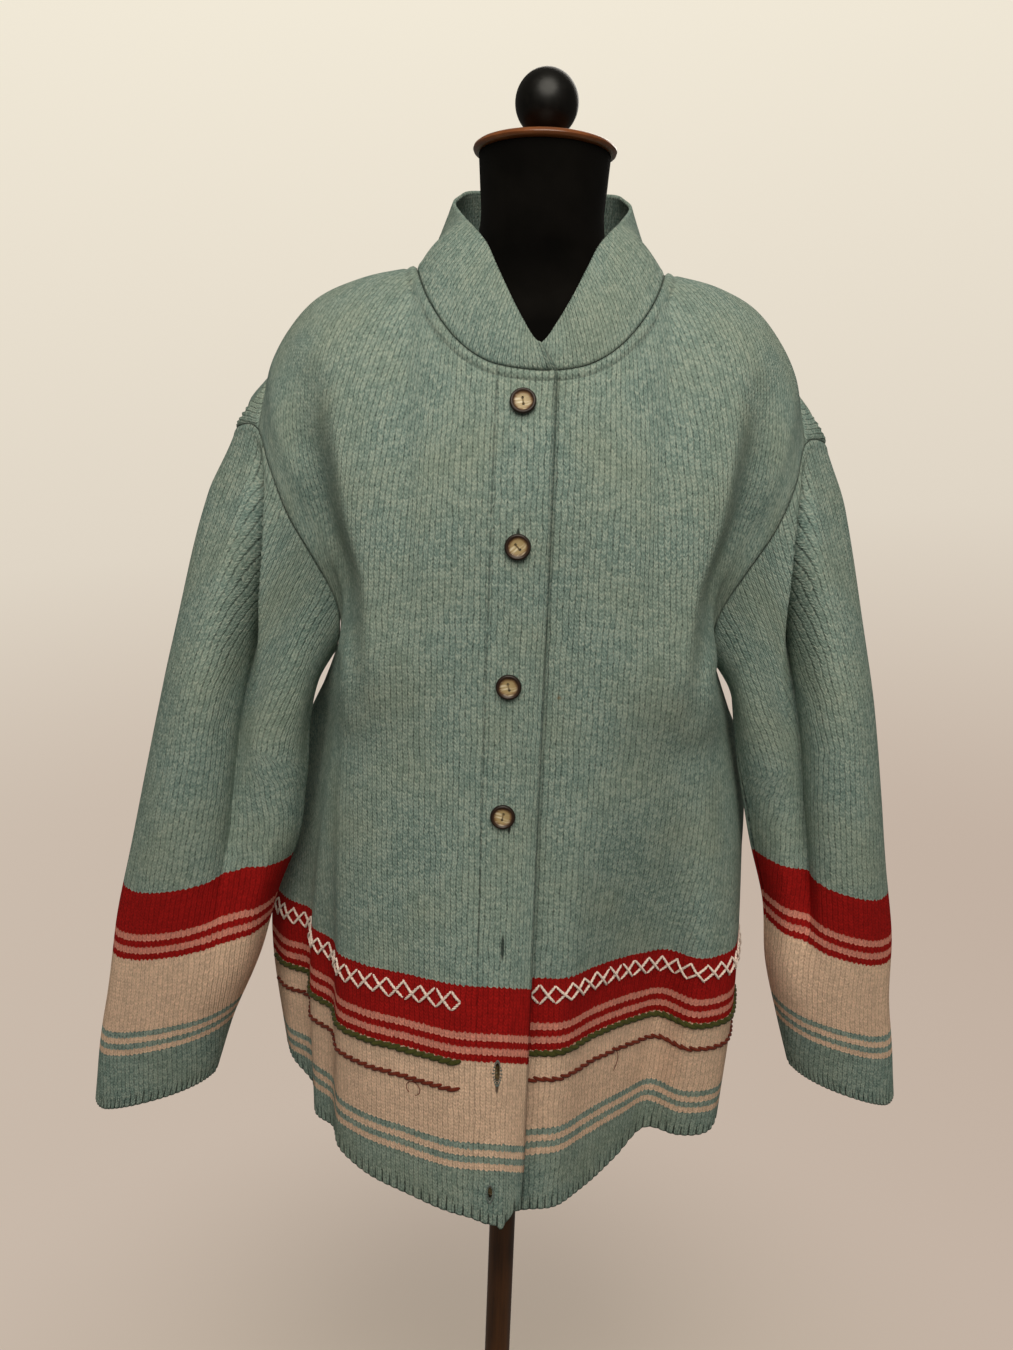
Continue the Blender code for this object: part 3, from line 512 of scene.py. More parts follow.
def folded(share, height, folds):
    """x and y of a hanging wall, share of the way across its fold lines, at this height."""
    folds = np.array(folds, float)
    steps = np.linalg.norm(np.diff(folds[:, 4:6], axis=0), axis=1)
    across = weights(share, np.concatenate(([0], np.cumsum(steps))) / steps.sum())
    down = weights(height, LEVELS[::-1])[..., ::-1]
    lines = folds.reshape(len(folds), 4, 2)
    return np.einsum("...k,...l,kld->d...", across, down, lines)


def settle(point):
    """The cardigan sits a little higher on the wearer's left shoulder."""
    point[..., 2] += SHOULDER_LEAN * point[..., 0] * ease((point[..., 2] - LEAN_FROM) / 150)
    shoulder = ease((np.abs(point[..., 0]) - 130) / 60) * ease((point[..., 2] - 1205) / 50)
    point[..., 0] -= SHOULDER_SHIFT * shoulder
    return point


def top_of(u, kind):
    """x, y, z of the top edge of a panel, with the height that the surface rolls down from."""
    x = NECK_SIDE * u / NECK_SHARE
    height, ridge = curve(x, BACK_NECKLINE if kind == "back" else NECKLINE)
    seam_x, seam_y, seam_z = path((u - NECK_SHARE) / (1 - NECK_SHARE), SHOULDER_SEAM)
    neck = u < NECK_SHARE
    y = np.where(neck, SHOULDER_SEAM[0][1], seam_y)
    z, ridge = np.where(neck, height, seam_z), np.where(neck, ridge, seam_z)
    return np.where(neck, x, seam_x), y, z, ridge


def side_of(c, v, kind):
    """x, y, z of the side edge: the side seam up to the underarm, then the armhole."""
    end = np.where((c < 0) & (kind == "back"), -1.0, 1.0)
    low = curve(end, HEMS[kind])[0]
    low = low + (ARMHOLE[0][3] - low) * np.clip(v / UNDERARM, 0, 1)
    seam_x, seam_y = folded((end + 1) / 2 if kind == "back" else end, low, FOLDS[kind])
    way = np.clip((v - UNDERARM) / (1 - UNDERARM), 0, 1)
    arm = curve(1 - way * (1 - ARMHOLE_TOP) if kind == "back" else way * ARMHOLE_TOP, ARMHOLE)
    above = v >= UNDERARM
    return [np.where(above, a, b) for a, b in zip(arm, (np.abs(seam_x), seam_y, low))], arm[0]


def draped(c, v, kind):
    """x, y, z of a panel before its edge is pulled to the seam, x from the centre line."""
    inner = c if kind == "back" else np.maximum(c, 0)
    u = np.abs(inner)
    top_x, top_y, top_z, ridge = top_of(u, kind)
    (_, _, side_z), arm_x = side_of(c, v, kind)
    (_, _, low_side), _ = side_of(c, 0 * v, kind)
    low = curve(c, HEMS[kind])[0]
    tip = SHOULDER_SEAM[-1]
    straight = low_side + (LEVEL_TOP - low_side) * v + (tip[2] - LEVEL_TOP) * v**5
    z = low + (LEVEL_TOP - low) * v + (top_z - LEVEL_TOP) * v**5 + (side_z - straight) * u**3
    hang_x, hang_y = folded((inner + 1) / 2 if kind == "back" else inner, z, FOLDS[kind])
    depth, drop = curve(u, SHOULDER_BLADES if kind == "back" else CHEST)
    roll = np.clip((ridge - z) / drop, 0, 1)
    roll_y = top_y + (depth - top_y) * np.sqrt(1 - (1 - roll) ** 2)
    roll_x = np.sign(inner) * top_x * (1 + (arm_x / tip[0] - 1) * ease((u - 0.2) / 0.55))
    hang_x = hang_x + (roll_x - hang_x) * ease((z - FOLDS_END[0]) / 100)
    hang_y = hang_y + (roll_y - hang_y) * ease((z - FOLDS_END[1]) / 90)
    return hang_x, hang_y, z


def panel(kind, c, v):
    """Outer surface of a body panel: c from the centre line (0) to a side (1, or -1 on the
    wearer's right of the back), v from the hem (0) to the top edge (1). On a front, c below 0
    is metres past the centre line."""
    c, v = np.broadcast_arrays(np.asarray(c, float), np.asarray(v, float))
    end = np.where((c < 0) & (kind == "back"), -1.0, 1.0)
    x, y, z = draped(c, v, kind)
    edge_x, edge_y, _ = draped(end, v, kind)
    (side_x, side_y, _), _ = side_of(c, v, kind)
    pull = np.clip((c * end - PULLED_FROM) / (1 - PULLED_FROM), 0, 1) ** 2
    x = x + (end * side_x - edge_x) * pull
    y = y + (side_y - edge_y) * pull
    if kind == "back":
        out = SHOULDER_CURVE * bump((c * end - 0.89) / 0.11) * bump((v - 0.94) / 0.06)
        return settle(np.stack((x + end * out, y, z + out / 2), -1))
    tuck = bump((c - 0.9) / 0.1) * bump((v - UNDERARM) / 0.11)
    x = x + np.minimum(c, 0) / MM - UNDERARM_TUCK * tuck
    at, deep = curve(z, CHEST_VALLEY)
    deep = deep * (1 - np.maximum(c, 0) ** 20) * ease((CHEST_VALLEY_TOP - z) / 40)
    y = y + deep * bump((x - at) / np.where(x < at, *CHEST_VALLEY_WIDTHS))
    if kind == "left":
        y = y + UNDERLAP * (1 - ease((x - RIGHT_EDGE - 1) / 35))
        return settle(np.stack((x, y, z), -1))
    y = y - FLAP_LIFT * ease((FLAP_TOP - z) / 180) * (1 - ease((x - 35) / 60))
    return settle(np.stack((-x, y, z), -1))


def normals(points):
    """Unit normals at the points of a grid, from the faces round each point. They face outward."""
    rising, falling = points[1:, 1:] - points[:-1, :-1], points[:-1, 1:] - points[1:, :-1]
    face = np.cross(rising, falling)
    total = np.zeros_like(points)
    for a in (np.s_[1:], np.s_[:-1]):
        for b in (np.s_[1:], np.s_[:-1]):
            total[a, b] += face
    total *= np.sign(((points - points * (0, 0, 1)) * total).sum())
    return total / np.linalg.norm(total, axis=-1, keepdims=True)


def stations(*knots, size):
    """Grid lines from the first knot on: (place, greatest step in mm of the stretch before it)."""
    lines = [np.array([knots[0][0]])]
    for (start, _), (end, step) in zip(knots, knots[1:]):
        count = max(1, round(abs(end - start) * size / step))
        lines.append(np.linspace(start, end, count + 1)[1:])
    return np.concatenate(lines)


def lengths(points, axis, origin):
    """Length along the grid lines of one axis, from the line numbered origin."""
    steps = np.linalg.norm(np.diff(points, axis=axis), axis=-1)
    total = np.cumsum(steps, axis=axis)
    total = np.concatenate((np.zeros_like(np.take(total, [0], axis)), total), axis)
    return total - np.take(total, [origin], axis)


def laid_flat(points, middle):
    """Place of each point in its knitting, in mm: across from the grid line numbered middle, and
    up from the top of the border."""
    across, up = lengths(points, 0, middle), lengths(points, 1, 0)
    red = np.array([np.interp(RED_TOP, z, v) for z, v in zip(points[..., 2], up)])
    return np.stack((across, up - red[:, None]), -1)


def distance_to(points, line):
    """Distance from every grid point to a line of points."""
    start, step = line[:-1], np.diff(line, axis=0)
    found = np.full(points.shape[:2], np.inf)
    for a, d in zip(start, step):
        t = np.clip((points - a) @ d / max(d @ d, 1e-9), 0, 1)
        found = np.minimum(found, np.linalg.norm(points - a - t[..., None] * d, axis=-1))
    return found


def seam_relief(distance, neck=False):
    """Rise of the knit beside a sewn seam, and the painted shade in its groove along the stitched
    line. A neckline has a second row of stitches, which leaves a ridge and a second line of painted
    shade."""
    rise = 0.35 * bump((distance - 4) / 3.4) - 0.4 * bump(distance / 2.0)
    # Painted shade: the stitched line and its groove are darkened.
    dark = 0.7 * bump(distance / 1.3)
    if neck:
        rise = 0.9 * bump((distance - 3.8) / 3.2) - 0.6 * bump(distance / 1.8)
        rise -= 0.8 * bump((distance - 7.8) / 1.9)
        # Painted shade in the groove of the neckline's second row.
        dark = dark + 0.55 * bump((distance - 7.8) / 1.4)
    return rise, dark


def softened(normal):
    """Normals evened out over their neighbours."""
    for _ in range(2):
        for axis in (0, 1):
            ends = np.take(normal, [0], axis), np.take(normal, [-1], axis)
            wide = np.moveaxis(np.concatenate((ends[0], normal, ends[1]), axis), axis, 0)
            normal = 2 * normal + np.moveaxis(wide[:-2] + wide[2:], 0, axis)
            normal = normal / np.linalg.norm(normal, axis=-1, keepdims=True)
    return normal


def slit_map(points, plain, ends):
    """Where the overcast stitches sit along a hem: every third line of the grid is pulled in. The
    map gives the number of pitches along the hem, and the height in lengths of the stitch."""
    rows, columns = points.shape[:2]
    number = np.arange(rows) / 3.0
    long = dice.uniform(*SLITS, rows)
    long = np.repeat(long[::3], 3)[:rows]
    for here in plain:
        number[here] = np.round(number[here]) + 0.5
    up = np.abs(lengths(points, 1, ends))
    return np.stack((np.broadcast_to(number[:, None], up.shape), up / long[:, None]), -1)


def lay_map(mesh, title, place):
    """Put a map on the mesh, which has the place of each vertex on it."""
    corner = np.zeros(len(mesh.loops), np.int32)
    mesh.loops.foreach_get("vertex_index", corner)
    place = place[corner].astype(np.float32)
    mesh.uv_layers.new(name=title).data.foreach_set("uv", place.ravel())


def nearest(grid, place):
    """Row and column of the grid's point nearest to a place."""
    return np.unravel_index(((grid - place) ** 2).sum(-1).argmin(), grid.shape[:2])


def cloth_mesh(name, points, normal, flat, low, wall, rim, dark):
    """A closed sheet: the outer face on the grid, the inner one a wall inside, and a rounded rim
    that stands out by rim. flat gives the place of each point in the knitting, in mm."""
    rows, columns = points.shape[:2]
    index = np.arange(rows * columns).reshape(rows, columns)
    inside = index + rows * columns
    faces = []
    for layer, order in ((index, (0, 1, 2, 3)), (inside, (0, 3, 2, 1))):
        corners = layer[:-1, :-1], layer[1:, :-1], layer[1:, 1:], layer[:-1, 1:]
        faces.append(np.stack([corners[k] for k in order], -1).reshape(-1, 4))
    loop = np.concatenate((index[:-1, 0], index[-1, :-1], index[:0:-1, -1], index[0, :0:-1]))
    out = np.zeros_like(points)
    for last, before in ((0, 1), (-1, -2)):
        for here, inward in ((np.s_[last], np.s_[before]), (np.s_[:, last], np.s_[:, before])):
            step = points[here] - points[inward]
            out[here] += step / np.linalg.norm(step, axis=-1, keepdims=True)
    out = out.reshape(-1, 3)[loop]
    out /= np.linalg.norm(out, axis=-1, keepdims=True)
    outer = points.reshape(-1, 3)
    inner = (points - wall * normal).reshape(-1, 3)
    edge = (outer[loop] + inner[loop]) / 2 + rim.reshape(-1)[loop][:, None] * out
    middle = np.arange(len(loop)) + 2 * rows * columns
    for high, below in ((loop, middle), (middle, loop + rows * columns)):
        faces.append(np.stack((high, below, np.roll(below, -1), np.roll(high, -1)), -1))
    faces = np.concatenate(faces)
    across, along = points[1:, :-1] - points[:-1, :-1], points[:-1, 1:] - points[:-1, :-1]
    if (np.cross(across, along) * normal[:-1, :-1]).sum() < 0:
        faces = faces[:, ::-1]
    mesh = bpy.data.meshes.new(name)
    vertices = np.concatenate((outer, inner, edge)) * MM
    mesh.from_pydata(vertices.tolist(), [], faces.tolist())
    for title, place in (("knit", flat * MM), ("hem", low)):
        place = place.reshape(-1, 2)
        lay_map(mesh, title, np.concatenate((place, place, place[loop])))
    # dark is the painted shade and the stitched lines that darken the knit's colour; the inner face
    # gets none.
    dark = dark.ravel()
    shade = mesh.attributes.new("stitching_and_shade", "FLOAT", "POINT")
    shade.data.foreach_set("value", np.concatenate((dark, 0 * dark, dark[loop])).astype(np.float32))
    mesh.shade_smooth()
    return mesh


def parts_of(place):
    """The first two parts of a place on a map."""
    parts = add(place.tree, "ShaderNodeSeparateXYZ", {0: place}).outputs
    return Value(place.tree, parts[0]), Value(place.tree, parts[1])


def grey(value):
    return made(value.tree, "ShaderNodeCombineColor", {0: value, 1: value, 2: value})


def wool(name, placket=0.0, bordered=True, wale=WALE):
    """Felted heathered stockinette: V stitches in wales and courses, the border by rows, painted
    shade in the hollows of the stitches and in the small gaps between the wales, and the overcast
    hem with its slits darkened. The colour also takes the painted shade along seams and folded
    edges. placket is how far from the centre a line of stitches runs up the front."""
    material, tree, shader = finish_of(name, rough=0.95, specular=0.1, sheen=0.1, sheen_rough=0.5)
    knit = made(tree, "ShaderNodeUVMap", uv_map="knit")
    side, rise = parts_of(knit)
    sway, jitter = noise(knit, 45, 1) - 0.5, noise(knit, 420, 1) - 0.5
    across = side * (1 / (wale * MM)) + sway * 0.8 + jitter * 0.3
    apart = across.math("PINGPONG", 0.5) * 2
    leaning = rise * (1 / (COURSE * MM)) + sway * 0.25 - apart * STITCH_LEAN
    strand = (leaning.math("FRACT") * np.pi).math("SINE")
    gap = apart.spread(0.60, 1.0, soft=True)
    middle = apart.spread(0.26, 0.0, soft=True)
    height = (1 - (gap + middle * 0.3)) * (strand * 0.5 + 0.5)

    cell = {0: (across + 0.5).math("FLOOR"), 1: leaning.math("FLOOR")}
    cell = {"Vector": made(tree, "ShaderNodeCombineXYZ", cell)}
    cells = made(tree, "ShaderNodeTexWhiteNoise", cell, "Value", noise_dimensions="2D")
    drawn = made(tree, "ShaderNodeMapping", {"Vector": knit, "Scale": (1, 0.45, 1)})
    fibre, cloud = noise(drawn, 950, 2, 0.6), noise(knit, 14, 2)
    heather = fibre * 0.73 + cells * 0.14 + noise(drawn, 75, 3, 0.6) * 0.13
    colour = ramp(heather, ((0.38, DEEP_FLECK), (0.50, YARN["sage"]), (0.62, PALE_FLECK)))
    colour = mix(colour, YELLOWED, cloud.spread(0.4, 0.66, 0, 0.3))
    # Painted shade in the small gaps between the wales, stronger in some places than others.
    pits = noise(knit, 230, 2).spread(0.42, 0.64, 0.12, 1)
    gap_shade = gap * (1 - strand * 0.55) * (pits * 0.72)
    if bordered:
        rows = sum(count for count, _ in BORDER)
        below = (leaning + fibre * 0.8 + jitter * 0.8 + apart * 0.35).math("FLOOR") * (-1 / rows)
        stops, plain, done = [], [(0, (1, 1, 1, 1))], 0
        for count, yarn in BORDER:
            place = (done + 0.5) / rows
            stops.append((place, YARN[yarn]))
            plain.append((place, (1, 1, 1, 1) if yarn == "sage" else (0, 0, 0, 1)))
            done += count
        striped = 1 - ramp(below, plain, "CONSTANT")
        shade = grey(heather.spread(0.36, 0.64, 0.78, 1.2))
        border = mix(ramp(below, stops, "CONSTANT"), shade, blend="MULTIPLY")
        colour = mix(colour, border, striped)
        gap_shade = gap_shade * (1 - striped * 0.62)
    join(mix(colour, (2.2, 2.2, 2.2, 1), blend="MULTIPLY"), shader, "Sheen Tint")

    # The stitched seam lines with the painted shade along seams and folded edges and the painted
    # shadow beside a lapping edge; then the placket's stitched line, the closed buttonholes and the
    # hem slits.
    line = made(tree, "ShaderNodeAttribute", result="Fac", attribute_name="stitching_and_shade") * 0.9
    if placket:
        run = (side + rise * 0.006 - placket * MM).math("ABSOLUTE").spread(0.0011, 0.0004)
        broken, faint = noise(knit, 120, 2).spread(0.34, 0.5), rise.spread(-0.03, 0.03, 0.22, 0.62)
        line = line.math("MAXIMUM", run * broken * faint)
        # Closed buttonholes and a pulled stitch: each slit is painted dark, as painted shade in its
        # opening.
        for u, v, tall in SLASHES:
            wide, high = (side - u * MM) / SLASH_WIDE, (rise - v * MM) / (tall * MM)
            line = line.math("MAXIMUM", (wide * wide + high * high).spread(1.2, 0.5))
    # The overcast hem: a dark slit where each stitch pulls the hem in, and the very edge darkened.
    # This stands for the thread lying there and painted shade in those grooves.
    number, up = parts_of(made(tree, "ShaderNodeUVMap", uv_map="hem"))
    width = 0.17 - up * 0.10
    slit = (number + jitter * 0.12).math("PINGPONG", 0.5).spread(width, width * 0.35, soft=True)
    slit = (slit * up.spread(1.0, 0.75)).math("MAXIMUM", up.spread(0.1, 0.0) * 0.5)
    line = line.math("MAXIMUM", slit * 0.95)
    # Painted shade: the hollows of each stitch, where the height is low, and the gaps between the
    # wales are darkened, with the lines above; the cloud adds a random tone.
    shade_tone_and_lines = (height * 0.2 + 0.86 - gap_shade) * (cloud * 0.25 + 0.88) * (1 - line * 0.78)
    colour = mix(colour, grey(shade_tone_and_lines), blend="MULTIPLY")

    where = made(tree, "ShaderNodeTexCoord", result="Object")
    for x, y, z, radius, tint in MARKS:
        spot = {0: where, 1: (x * MM, y * MM, z * MM)}
        spot = made(tree, "ShaderNodeVectorMath", spot, "Value", operation="DISTANCE")
        spot = (spot + jitter * 0.004).spread(radius * MM, 0.35 * radius * MM, 0, 0.75)
        colour = mix(colour, tint, spot)
    join(colour, shader, "Base Color")
    raised(height - line * 1.2 + fibre * 0.35, shader, 0.7, 0.0009)
    return material


def on_cloth(node, across, up, lift=0.0):
    """Points on a piece of knit and the normals there, for places in its knitting in mm."""
    points, normal, flat = cloths[node]
    last = np.array(flat.shape[:2]) - 1
    found = []
    for u, v, high in np.nditer([across, up, lift]):
        i, j = nearest(flat, (u, v))
        a, b = min(max(i, 1), last[0] - 1), min(max(j, 1), last[1] - 1)
        steps = [
            np.array((grid[a + 1, b] - grid[a - 1, b], grid[a, b + 1] - grid[a, b - 1]))
            for grid in cloths[node]
        ]
        share = np.linalg.solve(steps[2].T, (u, v) - flat[a, b])
        place = points[a, b] + share @ steps[0]
        out = normal[a, b] + share @ steps[1]
        out = out / np.linalg.norm(out)
        found.append((place + high * out, out))
    return np.array(found).transpose(1, 0, 2)


def pegs(rings):
    """A mesh of closed pegs, each between two rings of points."""
    points, faces = [], []
    for low, high in rings:
        start, count = len(points), len(low)
        points += [*low, *high]
        near, far = (list(range(at, at + count)) for at in (start, start + count))
        for i in range(count):
            j = (i + 1) % count
            faces.append((near[i], near[j], far[j], far[i]))
        faces += [near[::-1], far]
    mesh = bpy.data.meshes.new("pegs")
    mesh.from_pydata([tuple(point) for point in points], [], faces)
    return mesh


def cut_out(mesh, tool_mesh):
    """The mesh with the tool's shape taken out of it."""
    blank, tool = placed("blank", mesh), placed("tool", tool_mesh)
    cut = blank.modifiers.new("hole", "BOOLEAN")
    cut.object, cut.operation, cut.solver = tool, "DIFFERENCE", "EXACT"
    ready = blank.evaluated_get(bpy.context.evaluated_depsgraph_get())
    mesh = bpy.data.meshes.new_from_object(ready)
    for thing in (blank, tool):
        bpy.data.objects.remove(thing)
    return mesh


def facing_out(out):
    """The directions to the right and up of something that lies flat and faces out."""
    right = np.cross((0, 0, 1), out)
    right /= np.linalg.norm(right)
    return right, np.cross(out, right)


def pierced(mesh, openings):
    """The mesh with an upright oval hole cut right through at each opening."""
    angle = turns(HOLE_SIDES)[:, None]
    for place, out, wide, tall in openings:
        right, above = facing_out(out)
        ring = place + np.cos(angle) * wide / 2 * right + np.sin(angle) * tall / 2 * above
        through = HOLE_REACH * out
        mesh = cut_out(mesh, pegs([((ring - through) * MM, (ring + through) * MM)]))
    return mesh


def knitted(node, points, flat, low, seams, rim, material, flat_size, area, wall=WALL, under=None):
    """One finished piece of the knit, with its relief along the seam lines. flat_size and area
    are the cut of what shows, in metres, and are not used. under is the folded edge that it passes
    under."""
    normal = softened(normals(points))
    # dark gathers the painted shade along seams and folded edges, and the painted shadow of a
    # lapping edge.
    dark = np.zeros(points.shape[:2])
    for line, neck in seams:
        rise, depth = seam_relief(distance_to(points, line), neck)
        points = points + rise[..., None] * normal
        dark = np.maximum(dark, depth)
    if low[..., 1].min() < 0.1:
        near = ((low[..., 0] + 0.5) % 1 - 0.5) / SLIT_SHARE
        pulled = SLIT_DEEP * bump(near) * (1 - ease((low[..., 1] - 0.6) / 0.4))
        points = points - pulled[..., None] * normal
    if node in ("front_right", "collar"):
        inside = lengths(points, 0, 0)
        swell = FOLD_SWELL * bump((inside - FOLD_WIDE) / FOLD_WIDE)
        points = points + swell[..., None] * normal
        # Painted shade darkens the folded edge.
        dark = np.maximum(dark, FOLD_SHADE * (1 - ease(inside / FOLD_WIDE)))
    if under is not None:
        pressed = 1 - ease(distance_to(points, under) / UNDER_WIDE)
        points = points - (UNDER_DEEP * pressed)[..., None] * normal
        # Painted shadow of the lapping edge on the piece beneath.
        dark = np.maximum(dark, UNDER_SHADOW * pressed)
    cloths[node] = points, softened(normals(points)), flat
    if node == "front_right":
        for across, up, wide, tall in BUTTONHOLES:
            place, out = on_cloth(node, across, up)[:, 0]
            holes.append((place, out, wide, tall))
    name = f"{node}_knit"
    mesh = cloth_mesh(name, points, cloths[node][1], flat, low, wall, rim, dark)
    if node in ("front_right", "facing_right"):
        mesh = pierced(mesh, holes)
        mesh.name = name
    thing = piece_from(name, mesh, material, node, slot="wool")
    sheets.append((thing, flat_size, area))


front_wool = {"right": wool("sage_knit_right", placket=33.0), "left": wool("sage_knit_left")}
back_wool = wool("sage_knit_back")
up_lines = stations((0, 0), (0.01, 2), (UNDERARM, GRID), (0.984, GRID), (1, 1.1), size=700)
half = stations((0, 0), (SEAM_FROM, ACROSS_STEP), (1, 1.2), size=300)
rim_seam = int((half > SEAM_FROM + 0.001).sum())
lapping = None
for kind, past in (("right", RIGHT_EDGE), ("left", LEFT_EDGE)):
    edge = stations((-past * MM, 0), (0, ACROSS_STEP), size=1000)[:-1]
    columns = np.concatenate((edge, half))
    points = panel(kind, columns[:, None], up_lines[None])
    flat = laid_flat(points, len(edge))
    low = slit_map(points, (slice(len(columns) - rim_seam, None),), 0)
    rim = np.zeros(points.shape[:2])
    rim[0], rim[:, 0] = RIM, RIM
    neck = columns <= NECK_SHARE + 0.004
    seams = ((points[neck, -1], True), (points[~neck, -1], False), (points[-1], False))
    knitted(
        f"front_{kind}", points, flat, low, seams, rim, front_wool[kind],
        flat_size=(0.30, 0.76), area=0.19, under=lapping,
    )
    lapping = points[0]
columns = np.concatenate((-half[:0:-1], half))
points = panel("back", columns[:, None], up_lines[None])
flat = laid_flat(points, len(half) - 1)
low = slit_map(points, (slice(0, rim_seam), slice(len(columns) - rim_seam, None)), 0)
rim = np.zeros(points.shape[:2])
rim[:, 0] = RIM
neck = np.abs(columns) <= NECK_SHARE + 0.004
shoulders = columns < -NECK_SHARE, columns > NECK_SHARE
seams = [(points[0], False), (points[-1], False), (points[neck, -1], True)]
seams += [(points[side, -1], False) for side in shoulders]
knitted(
    "back", points, flat, low, seams, rim, back_wool, flat_size=(0.54, 0.80), area=0.38
)

# ---------------------------------------------------------------------------------------------
# Sleeves: wide, dropped and cut in one piece each from the same knit with the same border,
# seamed along the underarm and sewn into the armholes. The cuffs are plain overcast edges.
# ---------------------------------------------------------------------------------------------
CUFF_TO_RED = {"right": 227.0, "left": 211.0}
CUFF_ROWS = {"right": 1.05, "left": 1.0}     # the border's rows are this much taller on a sleeve
PRESSED_DEPTH, PRESSED_INNER, PRESSED_OUTER = 11.0, 15.0, 28.0   # the sharp bottom of the fold
SLEEVE_ROWS = {
    # share along the sleeve, middle x, y and z, half width, half depth, tilt of the section
    "right": (
        (0.00, 200, -12, 1159, 99, 86, -66), (0.10, 217, -22, 1112, 83, 74, -59),
        (0.22, 232, -30, 1052, 70, 64, -44), (0.36, 246, -35, 978, 66, 58, -20),
        (0.50, 260, -36, 905, 69, 54, -2), (0.62, 276, -36, 846, 68, 48, 8),
        (0.76, 291, -36, 778, 66, 41, 12), (0.89, 310, -36, 715, 61, 34, 15),
        (1.00, 323, -36, 657, 58, 27, 18),
    ),
    "left": (
        (0.00, 200, -12, 1159, 99, 86, -66), (0.10, 216, -22, 1112, 80, 74, -59),
        (0.22, 229, -30, 1052, 66, 64, -44), (0.36, 244, -35, 978, 57, 58, -20),
        (0.50, 258, -36, 908, 55, 54, 0), (0.62, 270, -36, 852, 54, 48, 10),
        (0.76, 277, -36, 790, 54, 41, 14), (0.89, 290, -36, 736, 53, 34, 16),
        (1.00, 302, -36, 688, 51, 27, 18),
    ),
}
SLEEVE_FOLDS = {
    # share round from the inner side by the front, drift to the cuff, half width, depth out,
    # lean, start and end along the sleeve
    "right": (
        (0.13, 0.02, 20, -7, 0, 0.30, 0.80), (0.62, 0.01, 26, -12, 3, -0.10, 0.60),
        (0.86, -0.02, 24, -9, 0, 0.20, 0.85), (0.45, -0.03, 24, 4, 0, 0.45, 1.05),
        (0.51, 0.00, 60, 9, 0, -0.30, 0.34),
    ),
    "left": (
        (0.15, 0.01, 20, -6, 0, 0.30, 0.80), (0.63, 0.01, 26, -10, 3, -0.10, 0.62),
        (0.85, -0.02, 24, -8, 0, 0.20, 0.85), (0.46, -0.03, 24, 4, 0, 0.45, 1.05),
        (0.51, 0.00, 60, 4, 0, -0.30, 0.34),
    ),
}
CREASE = {
    # share down the sleeve of the deep fold in front, share round, depth, half width on the inner
    # and on the outer side, share of the depth that the inner half of the sleeve keeps
    "right": (
        (0.00, 0.385, 26, 12, 32, 0), (0.07, 0.318, 44, 12, 38, 0), (0.12, 0.287, 50, 13, 42, 0.1),
        (0.18, 0.250, 48, 15, 45, 0.25), (0.25, 0.222, 42, 19, 50, 0.5),
        (0.35, 0.205, 30, 25, 54, 0.7), (0.50, 0.195, 17, 30, 58, 0.8),
        (0.68, 0.18, 0, 30, 60, 0.8), (1.00, 0.18, 0, 30, 60, 0.8),
    ),
    "left": (
        (0.00, 0.375, 26, 12, 32, 0), (0.07, 0.298, 41, 12, 38, 0), (0.12, 0.258, 46, 13, 42, 0.1),
        (0.18, 0.228, 44, 15, 45, 0.25), (0.25, 0.204, 38, 19, 50, 0.5),
        (0.35, 0.184, 27, 25, 54, 0.7), (0.50, 0.175, 15, 30, 56, 0.8),
        (0.68, 0.16, 0, 30, 56, 0.8), (1.00, 0.16, 0, 30, 56, 0.8),
    ),
}
CUFF_CORNER = 8.0   # the outer corner of a cuff is rounded up by this much


def sleeve(kind, turn, t):
    """Outer surface of a sleeve: turn from the underarm round by the front, t down to the cuff."""
    turn, t = np.broadcast_arrays(np.asarray(turn, float), np.asarray(t, float))
    angle = 2 * np.pi * turn

    def plain(down):
        x, y, z, half, deep, tilt = curve(down, SLEEVE_ROWS[kind])
        tilt = np.radians(tilt)
        across = half * squarer(np.cos(angle), 0.9)
        along = deep * squarer(np.sin(angle), 0.9)
        point = x - across * np.cos(tilt), y - along, z + across * np.sin(tilt)
        return np.stack(point, -1), half, deep

    point, half, deep = plain(t)
    seam = np.stack(curve(turn, ARMHOLE), -1)
    point = point + (seam - plain(0 * t)[0]) * (1 - ease(t / 0.3))[..., None]
    out = np.stack((-np.cos(angle), -np.sin(angle)), -1)
    side = np.stack((-out[..., 1], out[..., 0]), -1)
    girth = 2 * np.pi * np.sqrt((half**2 + deep**2) / 2)
    for at, drift, width, depth, lean, start, stop in SLEEVE_FOLDS[kind]:
        apart = (turn - at - drift * t + 0.5) % 1 - 0.5
        size = bump(apart * girth / width) * ease((t - start) / 0.2) * ease((stop - t) / 0.25)
        size = (size * ease(t / 0.08))[..., None]
        point[..., :2] += size * (depth * out + lean * side)
    at, depth, inner, outer, held = curve(t, CREASE[kind])
    apart = (turn - at) * girth
    near = (1 - held) * bump(apart / inner) + held * bump(apart / 80)
    size = depth * np.where(apart > 0, np.clip(1 - apart / outer, 0, 1) ** 2, near) * ease(t / 0.06)
    point[..., :2] -= size[..., None] * out
    point[..., 2] += CUFF_CORNER * bump((turn - 0.5) / 0.13) * ease((t - 0.85) / 0.15)
    if kind == "right":
        point[..., 0] *= -1
    return settle(point)


